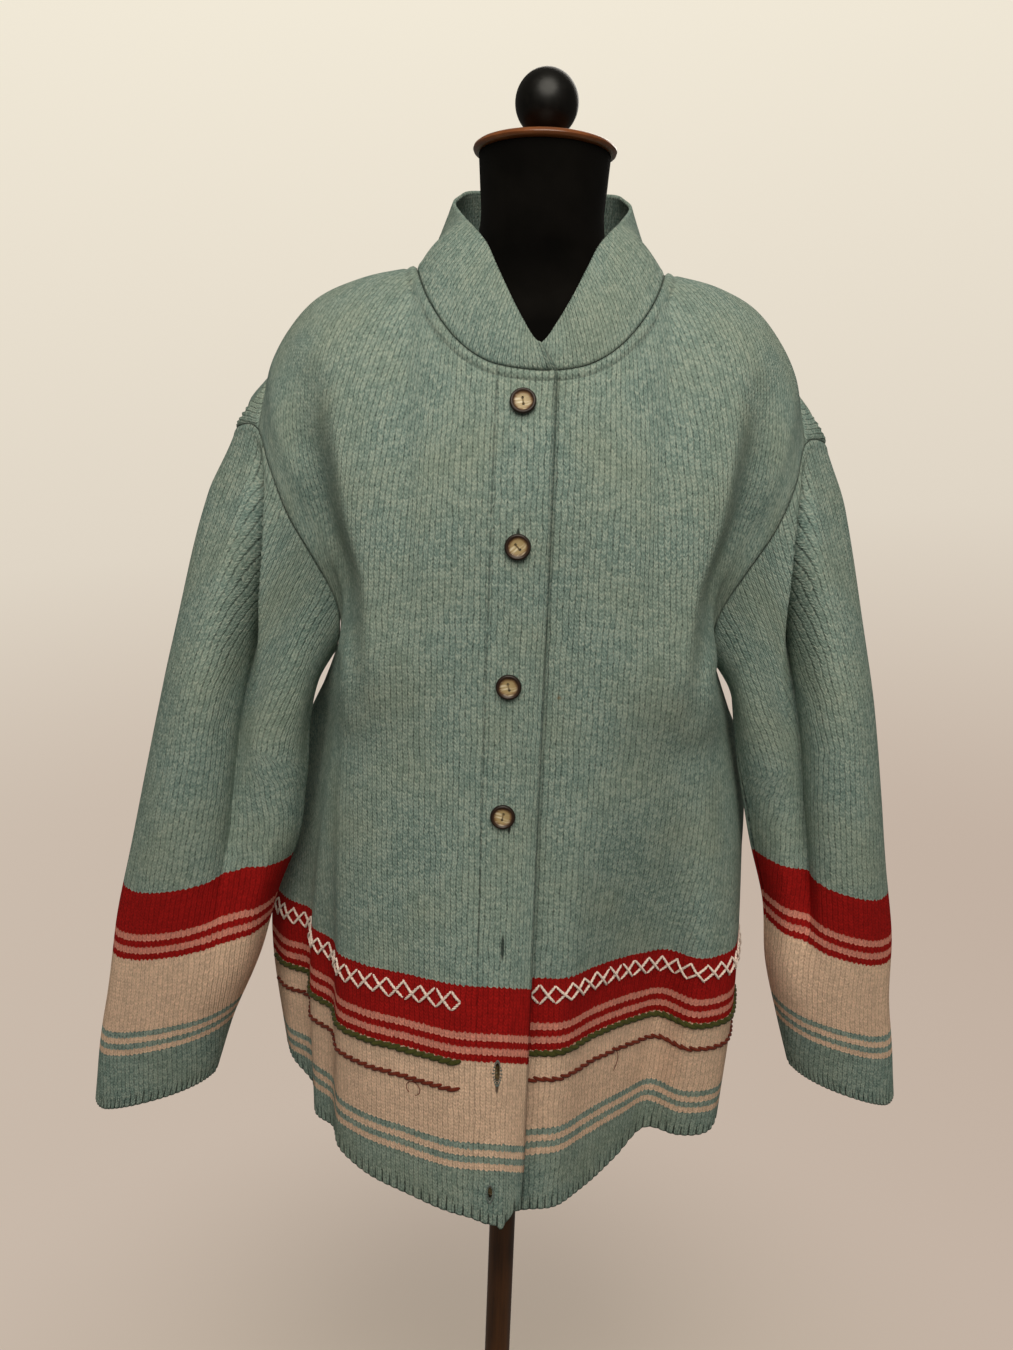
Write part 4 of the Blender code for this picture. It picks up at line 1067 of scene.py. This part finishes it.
around = stations((0, 0), (0.012, 1.2), (0.988, ACROSS_STEP), (1, 1.2), size=420)
down = stations((0, 0), (0.02, 1.1), (0.985, GRID), (1, 2), size=560)
for kind in ("right", "left"):
    points = sleeve(kind, around[:, None], down[None])
    top = int(np.argmin(abs(around - 0.5)))
    girth = np.ptp(lengths(points, 0, top), axis=0)
    apart = (around[:, None] - curve(down, CREASE[kind])[0]) * girth
    apart = np.where(apart > 0, apart / PRESSED_OUTER, -apart / PRESSED_INNER)
    groove = PRESSED_DEPTH * np.clip(1 - apart, 0, 1) ** 1.3
    groove *= ease((down - 0.02) / 0.1) * (1 - ease((down - 0.42) / 0.4))
    inward = points.mean(0) - points
    points = points + (groove / np.linalg.norm(inward, axis=-1))[..., None] * inward
    along = lengths(points, 1, len(down) - 1)
    across, whole = lengths(points, 0, top), np.searchsorted(down, 0.3)
    across[:, :whole] = across[:, whole:whole + 1]
    flat = np.stack((across, (-along - CUFF_TO_RED[kind]) / CUFF_ROWS[kind]), -1)
    low = slit_map(points, (slice(0, 6), slice(len(around) - 6, None)), len(down) - 1)
    rim = np.zeros(points.shape[:2])
    rim[:, -1] = RIM
    seams = ((points[:, 0], False), (points[0], False), (points[-1], False))
    knitted(
        f"sleeve_{kind}", points, flat, low, seams, rim, wool(f"sage_knit_sleeve_{kind}"),
        flat_size=(0.52, 0.56), area=0.22,
    )

# ---------------------------------------------------------------------------------------------
# Collar: a doubled band of the same knit, its wales running from the seam up to the folded edge,
# rolled outward a little and sewn round the neckline.
# ---------------------------------------------------------------------------------------------
COLLAR_WALL, COLLAR_ROLL, COLLAR_WALE = 3.0, 4.0, 3.3
COLLAR_FRONT = (
    # seam's distance from the centre, then x, y, z of the free edge
    (-33, -20, -97, 1306), (-13, -3, -100, 1311), (0, 5, -97, 1318), (14, 12, -92, 1329),
    (42, 26, -80, 1354), (57, 34, -70, 1370), (74, 43, -56, 1388), (87, 53, -41, 1401),
    (98, 61, -25, 1410),
)
COLLAR_BACK = (
    (0, 0, 82, 1451), (35, 47, 67, 1449), (68, 68, 42, 1441), (90, 70, 8, 1424),
    (98, 61, -25, 1410),
)


def collar(s, r):
    """Outer surface of the collar: r from the seam (0) to the free edge (1), s from the end on the
    right front (-2) by the shoulder seams (-1 and 1) to the end on the left front (2)."""
    s, r = np.broadcast_arrays(np.asarray(s, float), np.asarray(r, float))
    place = np.zeros(s.shape + (3,))
    for kind, sign, past in (("right", -1, RIGHT_EDGE), ("left", 1, LEFT_EDGE)):
        x = NECK_SIDE - (NECK_SIDE + past) * (sign * s - 1)
        c = np.where(x > 0, x * NECK_SHARE / NECK_SIDE, x * MM)
        seam = panel(kind, c, 1 + 0 * c)
        free = np.stack(curve(x, COLLAR_FRONT), -1) * (sign, 1, 1)
        if kind == "left":
            free[..., 1] += UNDERLAP * (1 - ease((x - RIGHT_EDGE - 1) / 35))
        free = settle(free)
        place = np.where((sign * s >= 1)[..., None], seam + (free - seam) * r[..., None], place)
    c = np.clip(s, -1, 1) * NECK_SHARE
    seam = panel("back", c, 1 + 0 * c)
    free = np.stack(curve(np.abs(c) * NECK_SIDE / NECK_SHARE, COLLAR_BACK), -1)
    free[..., 0] *= np.sign(c)
    free = settle(free)
    place = np.where((np.abs(s) < 1)[..., None], seam + (free - seam) * r[..., None], place)
    out = place[..., :2] / np.linalg.norm(place[..., :2], axis=-1, keepdims=True)
    place[..., :2] += COLLAR_ROLL * out * np.sin(np.pi * r)[..., None]
    return place


right_end = stations((-2, 0), (-1 - NECK_SIDE / (NECK_SIDE + RIGHT_EDGE), 2), (-1, 2.5), size=160)
back_part = stations((-1, 0), (1, 2.5), size=100)[1:]
left_end = stations((1, 0), (1 + NECK_SIDE / (NECK_SIDE + LEFT_EDGE), 2.5), (2, 2), size=170)[1:]
round_neck = np.concatenate((right_end, back_part, left_end))
rise = stations((0, 0), (0.06, 1), (0.9, 2.2), (1, 1.2), size=62)
points = collar(round_neck[:, None], rise[None])
across, up = lengths(points, 0, len(round_neck) // 2), lengths(points, 1, 0)
edge_length = across[:, -1:]
flat = np.stack((np.broadcast_to(edge_length, up.shape), up + 300), -1)
low = np.full(points.shape[:2] + (2,), NO_SLITS)
rim = np.zeros(points.shape[:2])
rim[0], rim[-1], rim[:, -1] = 1.3, 1.3, 1.5
knitted(
    "collar", points, flat, low, [(points[:, 0], False)], rim,
    wool("sage_knit_collar", bordered=False, wale=COLLAR_WALE),
    flat_size=(0.47, 0.075), area=0.034, wall=COLLAR_WALL, under=points[0],
)

# ---------------------------------------------------------------------------------------------
# Facings: a narrow strip of thin knit behind each front edge, caught down by the stitching that
# shows on the right front.
# ---------------------------------------------------------------------------------------------
FACING_WALL, LAYER_GAP, PLACKET_WIDTH = 1.2, 0.55, 45.0
for kind, past in (("right", RIGHT_EDGE), ("left", LEFT_EDGE)):
    edge = stations((-(past - 0.6) * MM, 0), (0, GRID), size=1000)[:-1]
    wide = (PLACKET_WIDTH - past) * NECK_SHARE / NECK_SIDE
    columns = np.concatenate((edge, stations((0, 0), (wide, GRID), size=270)))
    rows = stations((0.004, 0), (0.988, GRID), size=700)
    points = panel(kind, columns[:, None], rows[None])
    normal = normals(points)
    points = points - (WALL + LAYER_GAP) * normal
    knitted(
        f"facing_{kind}", points, laid_flat(points, len(edge)),
        np.full(points.shape[:2] + (2,), NO_SLITS), [], np.zeros(points.shape[:2]),
        front_wool[kind], flat_size=(PLACKET_WIDTH * MM, 0.70), area=None, wall=FACING_WALL,
    )

# ---------------------------------------------------------------------------------------------
# Embroidery: worked by hand in thick wool on both fronts. A row of crossing stitches lies in the
# red band, with two lines of stem stitch below it, and the open buttonholes are oversewn.
# ---------------------------------------------------------------------------------------------
PLY_SIDES = 7
TWIST = 5.2          # a yarn turns once in this length
STRANDS = {1: (0.0, 1.0), 2: (0.52, 0.62)}   # number of strands: how far out, how thick
CROSS_PITCH, CROSS_LOW, CROSS_HIGH = 13.9, -22.5, -6.8
CROSS_THICK, CROSS_UNEVEN = 1.1, 0.9
CROSS_RUN = {"front_right": (53, 19), "front_left": (20, 21)}   # start, number of stitches
STEM_PITCH, STEM_REACH, STEM_SLANT = 7.6, 5.3, 1.7   # apart, half length, half of how far it slants
STEM_RUN = {"front_right": (47, 35), "front_left": (13, 39)}
STEMS = (
    # colour, distance below the top of the border, half thickness
    ("olive", 66.3, 2.1), ("russet", 90, 1.5),
)
OVERSEWN = 26        # stitches round a buttonhole
YARN_COLOUR = {
    "ivory": (0.95, 0.79, 0.70, 1), "olive": (0.060, 0.062, 0.014, 1),
    "russet": (0.150, 0.024, 0.012, 1), "grey": (0.15, 0.18, 0.17, 1),
    "tan": (0.26, 0.19, 0.10, 1),
}


def yarn_tree():
    """Round strands along the chains of edges, as thick as the attribute says, a little uneven."""
    tree = bpy.data.node_groups.new("yarn", "GeometryNodeTree")
    for title, kind in (
        ("Geometry", "Geometry"), ("Sides", "Int"), ("Uneven", "Float"), ("Seed", "Int"),
        ("Material", "Material"),
    ):
        tree.interface.new_socket(title, in_out="INPUT", socket_type="NodeSocket" + kind)
    tree.interface.new_socket("Geometry", in_out="OUTPUT", socket_type="NodeSocketGeometry")
    given = add(tree, "NodeGroupInput").outputs
    uneven = Value(tree, given["Uneven"])
    chance = {"Min": 1 - uneven, "Max": 1 + uneven, "Seed": given["Seed"]}
    chance = add(tree, "FunctionNodeRandomValue", chance, data_type="FLOAT").outputs
    chance = Value(tree, next(socket for socket in chance if socket.enabled))
    thick, radius = (
        made(tree, "GeometryNodeInputNamedAttribute", {"Name": title}, data_type="FLOAT")
        for title in ("thick", "radius")
    )
    lines = made(tree, "GeometryNodeMeshToCurve", {"Mesh": given["Geometry"]})
    lines = {"Curve": lines, "Radius": thick * chance}
    lines = made(tree, "GeometryNodeSetCurveRadius", lines)
    ring = {"Resolution": given["Sides"], "Radius": 1.0}
    ring = made(tree, "GeometryNodeCurvePrimitiveCircle", ring)
    swept = {"Curve": lines, "Profile Curve": ring, "Scale": radius, "Fill Caps": True}
    swept = made(tree, "GeometryNodeCurveToMesh", swept)
    swept = {"Geometry": made(tree, "GeometryNodeRealizeInstances", {0: swept})}
    swept["Material"] = given["Material"]
    add(tree, "NodeGroupOutput", {"Geometry": made(tree, "GeometryNodeSetMaterial", swept)})
    return tree


def yarn_finish(name, colour):
    """Soft wool yarn: fine fibres along it, paler in places."""
    material, tree, shader = finish_of(name, rough=0.9, specular=0.12, sheen=0.08)
    where = made(tree, "ShaderNodeTexCoord", result="Object")
    fibre, cloud = noise(where, 2400, 2), noise(where, 260, 2)
    dim = tuple(0.62 * value for value in colour[:3]) + (1,)
    colour = ramp(fibre * 0.55 + cloud * 0.45, ((0.38, dim), (0.58, colour)))
    join(colour, shader, "Base Color")
    raised(fibre, shader, 0.5, 0.0004)
    return material


def plies(line, out, thick, start, count):
    """The strands of a twisted yarn round a line: a list of (points, radius at each)."""
    length = np.concatenate(([0], np.cumsum(np.linalg.norm(np.diff(line, axis=0), axis=1))))
    along = np.gradient(line, axis=0)
    along /= np.linalg.norm(along, axis=1, keepdims=True)
    side = np.cross(along, out)
    away, share = STRANDS[count]
    twisted = []
    for k in range(count):
        phase = (start + 2 * np.pi * (length / TWIST + k / count))[:, None]
        ring = np.cos(phase) * out + np.sin(phase) * side
        twisted.append((line + away * thick[:, None] * ring, share * thick))
    return twisted


def yarns(name, strands, material, sides=PLY_SIDES):
    """One piece made of all these strands."""
    vertices, edges, thick = [], [], []
    for points, radius in strands:
        edges += [(len(vertices) + i, len(vertices) + i + 1) for i in range(len(points) - 1)]
        vertices += (points * MM).tolist()
        thick += list(np.broadcast_to(radius, len(points)) * MM)
    mesh = bpy.data.meshes.new(name + "_line")
    mesh.from_pydata(vertices, edges, [])
    mesh.attributes.new("thick", "FLOAT", "POINT").data.foreach_set("value", thick)
    line = placed(name + "_line", mesh)
    sweep = line.modifiers.new("yarn", "NODES")
    sweep.node_group = yarn_group
    given = {"Sides": sides, "Uneven": 0.08, "Seed": 11, "Material": material}
    for item in yarn_group.interface.items_tree:
        if item.in_out == "INPUT" and item.name in given:
            sweep[item.identifier] = given[item.name]
    line.update_tag()
    bpy.context.view_layer.update()
    ready = line.evaluated_get(bpy.context.evaluated_depsgraph_get())
    mesh = bpy.data.meshes.new_from_object(ready)
    mesh.name = name
    bpy.data.objects.remove(line)
    mesh.shade_smooth()
    return piece_from(name, mesh, material, slot="wool")


def stitch(node, start, end, thick, top, dive=-0.9, points=24, count=2):
    """A hand stitch from one place in the knitting to another: it comes up through the cloth,
    lies on it and goes down again."""
    s = np.linspace(0, 1, points)
    across, up = (a + (b - a) * s for a, b in zip(start, end))
    arch = np.sin(np.pi * s) ** 0.45
    line, out = on_cloth(node, across, up, dive + (top - dive) * arch)
    return plies(line, out, thick * (0.72 + 0.28 * arch), dice.uniform(0, 6), count)


yarn_group = yarn_tree()
yarn_stuff = {key: yarn_finish(f"{key}_yarn", colour) for key, colour in YARN_COLOUR.items()}
worked = {"front_right": [], "front_left": []}
for node, (start, count) in CROSS_RUN.items():
    strands = []
    close = (start - CROSS_PITCH / 2, (CROSS_LOW + CROSS_HIGH) / 2)
    for edge, top in ((CROSS_LOW, 1.0), (CROSS_HIGH, 1.4)):
        strands += stitch(node, (start, edge), close, CROSS_THICK, top, points=16)
    for k in range(count):
        left, right = start + k * CROSS_PITCH, start + (k + 1) * CROSS_PITCH
        low, high, more, less = (dice.uniform(-CROSS_UNEVEN, CROSS_UNEVEN) for _ in range(4))
        rising = (left + more, CROSS_LOW + low), (right + less, CROSS_HIGH + high)
        falling = (left - less, CROSS_HIGH - high), (right - more, CROSS_LOW - low)
        strands += stitch(node, *rising, CROSS_THICK, top=1.0)
        strands += stitch(node, *falling, CROSS_THICK, top=1.9)
    worked[node].append(yarns(f"cross_stitch_{node}", strands, yarn_stuff["ivory"]))
for node, (start, count) in STEM_RUN.items():
    for colour, depth, thick in STEMS:
        strands = []
        for k in range(count):
            middle = start + (k + 0.5) * STEM_PITCH
            up = dice.uniform(-0.35, 0.35) - depth
            ends = (middle - STEM_REACH, up + STEM_SLANT), (middle + STEM_REACH, up - STEM_SLANT)
            strands += stitch(node, *ends, thick, top=1.0, dive=-1.2, points=16, count=1)
        worked[node].append(yarns(f"stem_stitch_{colour}_{node}", strands, yarn_stuff[colour]))
strands = []
for across, up, wide, tall in BUTTONHOLES:
    for angle in turns(OVERSEWN):
        near = 1.12 * np.array((np.cos(angle) * wide / 2, np.sin(angle) * tall / 2))
        far = near + 2.6 * near / np.linalg.norm(near) * (0.8, 0.6)
        ends = (across, up) + near, (across, up) + far
        strands += stitch("front_right", *ends, thick=0.6, top=0.55, points=7)
worked["front_right"].append(yarns("buttonhole_stitches", strands, yarn_stuff["grey"], 5))
turn = np.linspace(-2.9, 2.4, 34)
across, up = 86 + 6.2 * np.sin(turn), -98.5 + 6.2 * np.cos(turn)
loop, _ = on_cloth("front_right", across, up, 0.5 + 0.5 * np.cos(turn))
drop = np.linspace(0, 1, 24)
tail, _ = on_cloth("front_left", 104 + 4.5 * np.sin(3.4 * drop), -86 - 21 * drop, 0.6 + 3 * drop)
strands = [(loop, 0.34), (tail, 0.30)]
worked["front_right"].append(yarns("loose_threads", strands, yarn_stuff["russet"], 5))

# The node of each piece of knit, read back from its name; nothing more is done with it.
for thing, flat_size, area in sheets:
    node = thing.name.removesuffix("_knit")

# ---------------------------------------------------------------------------------------------
# Buttons: round horn coat buttons, turned with a thick dark rim and a dished pale middle, drilled
# with two holes and sewn on with dark thread. Four are done up; three lie under the open flap.
# ---------------------------------------------------------------------------------------------
BUTTON_SIDES, BUTTON_RADIUS = 56, 9.6
BUTTON_PROFILE = (
    # radius, height above the middle of the button
    (0, -2.1), (7.6, -2.1), (8.9, -1.5), (9.55, -0.4), (9.6, 0.5), (9.35, 1.3), (8.9, 1.8),
    (8.3, 2.05), (7.7, 1.95), (7.1, 1.5), (6.5, 1.05), (5.4, 0.75), (3.0, 0.6), (0, 0.55),
)
HOLE_RADIUS, HOLES_APART, DRILL_SIDES, DRILL_REACH = 1.05, 4.6, 16, 4
HORN = (
    # share of the way out, colour
    (0.0, (0.46, 0.35, 0.18, 1)), (0.50, (0.36, 0.26, 0.125, 1)),
    (0.64, (0.17, 0.095, 0.042, 1)), (0.74, (0.040, 0.018, 0.010, 1)),
    (0.95, (0.013, 0.007, 0.004, 1)),
)
BUTTON_SWINGS = (0.2, 0.75, 0.25, -0.2, 0.5, 0.1, -0.4)   # turn of each, from the top down
DONE_UP = 4          # this many lie on the right front, the others on the left


def horn():
    """Polished horn: a pale brassy middle with streaks across it, brown towards the rim."""
    looks = {"rough": 0.42, "specular": 0.3, "coat": 0.12, "coat_rough": 0.18}
    material, tree, shader = finish_of("polished_horn", **looks)
    face = made(tree, "ShaderNodeUVMap", uv_map="face")
    out = made(tree, "ShaderNodeVectorMath", {0: face}, "Value", operation="LENGTH")
    uneven = noise(made(tree, "ShaderNodeTexCoord", result="Object"), 190, 3)
    bent = {"Vector": face, "Rotation": (0, 0, 0.7), "Scale": (0.5, 3.2, 1)}
    streak = noise(made(tree, "ShaderNodeMapping", bent), 1.6, 3).spread(0.52, 0.72)
    colour = ramp(out - 0.11 + uneven * 0.22, HORN)
    colour = mix(colour, (0.80, 0.71, 0.52, 1), streak * out.spread(0.72, 0.58))
    join(colour, shader, "Base Color")
    raised(uneven, shader, 0.08, 0.0004)
    return material


def button_mesh(name, place, out, swing):
    """A lathe-turned button with two drilled holes, set on its spot facing out, swung round."""
    right, above = facing_out(out)
    cosine, sine = np.cos(swing), np.sin(swing)
    axes = np.array((cosine * right + sine * above, cosine * above - sine * right, out))
    points, faces = lathe(BUTTON_PROFILE, BUTTON_SIDES)
    blank = bpy.data.meshes.new("blank")
    blank.from_pydata(points, [], faces)
    angle = turns(DRILL_SIDES)
    ring = HOLE_RADIUS * np.stack((np.cos(angle), np.sin(angle), 0 * angle), -1)
    spots = (-HOLES_APART / 2, HOLES_APART / 2)
    drills = [(ring + (0, at, -DRILL_REACH), ring + (0, at, DRILL_REACH)) for at in spots]
    mesh = cut_out(blank, pegs(drills))
    points = np.empty(3 * len(mesh.vertices))
    mesh.vertices.foreach_get("co", points)
    points = points.reshape(-1, 3)
    lay_map(mesh, "face", points[:, :2] / BUTTON_RADIUS)
    mesh.vertices.foreach_set("co", ((place + points @ axes) * MM).ravel())
    mesh.name = name
    mesh.shade_smooth()
    mesh.set_sharp_from_angle(angle=np.radians(50))
    return mesh, axes


polished_horn = horn()
sewing = []
for number, swing in enumerate(BUTTON_SWINGS, 1):
    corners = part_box(f"button_{number}")
    place = np.array([(a + b) / 2 for a, b in zip(*corners)]) / MM
    points, normal, _ = cloths["front_right" if number <= DONE_UP else "front_left"]
    out = normal[nearest(points, place)]
    mesh, axes = button_mesh(f"coat_button_{number}", place, out, swing)
    piece_from(f"coat_button_{number}", mesh, polished_horn, f"button_{number}", slot="horn")
    across = np.linspace(-1, 1, 9)
    sunk = 0.65 + 0.15 * (1 - across**2) - 3.4 * np.maximum(abs(across) - 0.8, 0)
    for shift in (-0.3, 0.3):
        thread = np.stack((shift + 0 * across, across * HOLES_APART / 2 * 1.06, sunk), -1)
        sewing.append((place + thread @ axes, 0.24))
yarns("button_thread", sewing, yarn_stuff["tan"], 6)

# ---------------------------------------------------------------------------------------------
# Studio: a pale curved backdrop that only the camera sees, which glows with painted light, a large
# soft light above the camera, a weak one high up behind and a weak fill. The camera stands in front
# at chest height and looks a little down.
# ---------------------------------------------------------------------------------------------
scene = bpy.context.scene
scene.view_settings.view_transform = "Standard"
BACKDROP = (
    # distance from the stand, height, in metres
    (0, 0), (1.2, 0), (2.4, 0.02), (2.9, 0.12), (3.2, 0.36), (3.36, 0.8), (3.4, 1.4), (3.4, 4.5),
)
FLOOR_COLOUR = (0.84, 0.74, 0.66, 1)
WALL_GLOW = (
    # share of the way up, colour of the glow: painted light, darker towards the floor
    (0, (0.53, 0.425, 0.35, 1)), (0.35, (0.74, 0.665, 0.56, 1)), (1, (0.89, 0.825, 0.69, 1)),
)


def backdrop():
    """A turned backdrop that glows by itself with painted light, brighter up high and to the left,
    with a plain floor round the stand that takes its shadow."""
    share = np.linspace(0, 1, len(BACKDROP))
    profile = curve(np.linspace(0, 1, 40), np.column_stack((share, BACKDROP)))
    points, faces = lathe(profile.T, 96)
    mesh = bpy.data.meshes.new("backdrop")
    mesh.from_pydata((np.array(points) - (0, 0, 0.0005)).tolist(), [], faces)
    mesh.shade_smooth()
    material = bpy.data.materials.new("backdrop_painted_glow")
    material.use_nodes = True
    tree = material.node_tree
    tree.nodes.clear()
    where = made(tree, "ShaderNodeTexCoord", result="Object")
    parts = add(tree, "ShaderNodeSeparateXYZ", {0: where}).outputs
    # Painted light: the glow is brighter up high and to the left, darker near the floor.
    height = Value(tree, parts[2]) - Value(tree, parts[0]) * 0.10
    glow = {"Color": ramp(height.spread(-0.2, 3.0), WALL_GLOW)}
    glow = made(tree, "ShaderNodeEmission", glow)
    floor = made(tree, "ShaderNodeBsdfDiffuse", {"Color": FLOOR_COLOUR})
    away = made(tree, "ShaderNodeVectorMath", {0: where}, "Value", operation="LENGTH")
    both = {0: away.spread(0.12, 0.95, soft=True), 1: floor, 2: glow}
    add(tree, "ShaderNodeOutputMaterial", {0: made(tree, "ShaderNodeMixShader", both)})
    thing = placed("backdrop", mesh)
    mesh.materials.append(material)
    thing.visible_diffuse = thing.visible_glossy = thing.visible_transmission = False
    thing.visible_shadow = False


def soft_light(name, place, aim, size, power, colour):
    """A round lamp in metres and watts, which faces what it is aimed at."""
    light = bpy.data.lights.new(name, "AREA")
    light.shape, light.size, light.energy, light.color = "DISK", size, power, colour
    thing = placed(name, light)
    thing.rotation_mode = "QUATERNION"
    thing.rotation_quaternion = (Vector(aim) - Vector(place)).to_track_quat("-Z", "Y")
    thing.location = place


backdrop()
BACK_LIGHT = {"size": 1.6, "power": 16, "colour": (1.0, 0.95, 0.86)}
KEY_LIGHT = {"size": 2.2, "power": 60, "colour": (1.0, 0.95, 0.83)}
soft_light("back", (0.5, 1.9, 2.5), (0, 0, 1.1), **BACK_LIGHT)
soft_light("key", (0.02, -1.70, 2.70), (0, 0, 1.15), **KEY_LIGHT)
world = bpy.data.worlds.new("room")
scene.world = world
world.use_nodes = True
fill = world.node_tree.nodes["Background"].inputs
fill["Color"].default_value, fill["Strength"].default_value = (1.0, 0.94, 0.82, 1), 0.11

CAMERA_PLACE = (-0.0153, -0.860, 1.240)
PITCH, ROLL = np.radians(12.7), np.radians(2.07)
lens = bpy.data.cameras.new("camera")
lens.sensor_width, lens.lens, lens.clip_start = 36, 27.04, 0.05
camera = placed("camera", lens)
right = (np.cos(ROLL), np.sin(ROLL) * np.sin(PITCH), np.sin(ROLL) * np.cos(PITCH))
upward = (-np.sin(ROLL), np.cos(ROLL) * np.sin(PITCH), np.cos(ROLL) * np.cos(PITCH))
forward = (0, np.cos(PITCH), -np.sin(PITCH))
turn = np.array((right, upward, -np.array(forward))).T
camera.matrix_world = Matrix.Translation(CAMERA_PLACE) @ Matrix(turn.tolist()).to_4x4()
scene.camera = camera
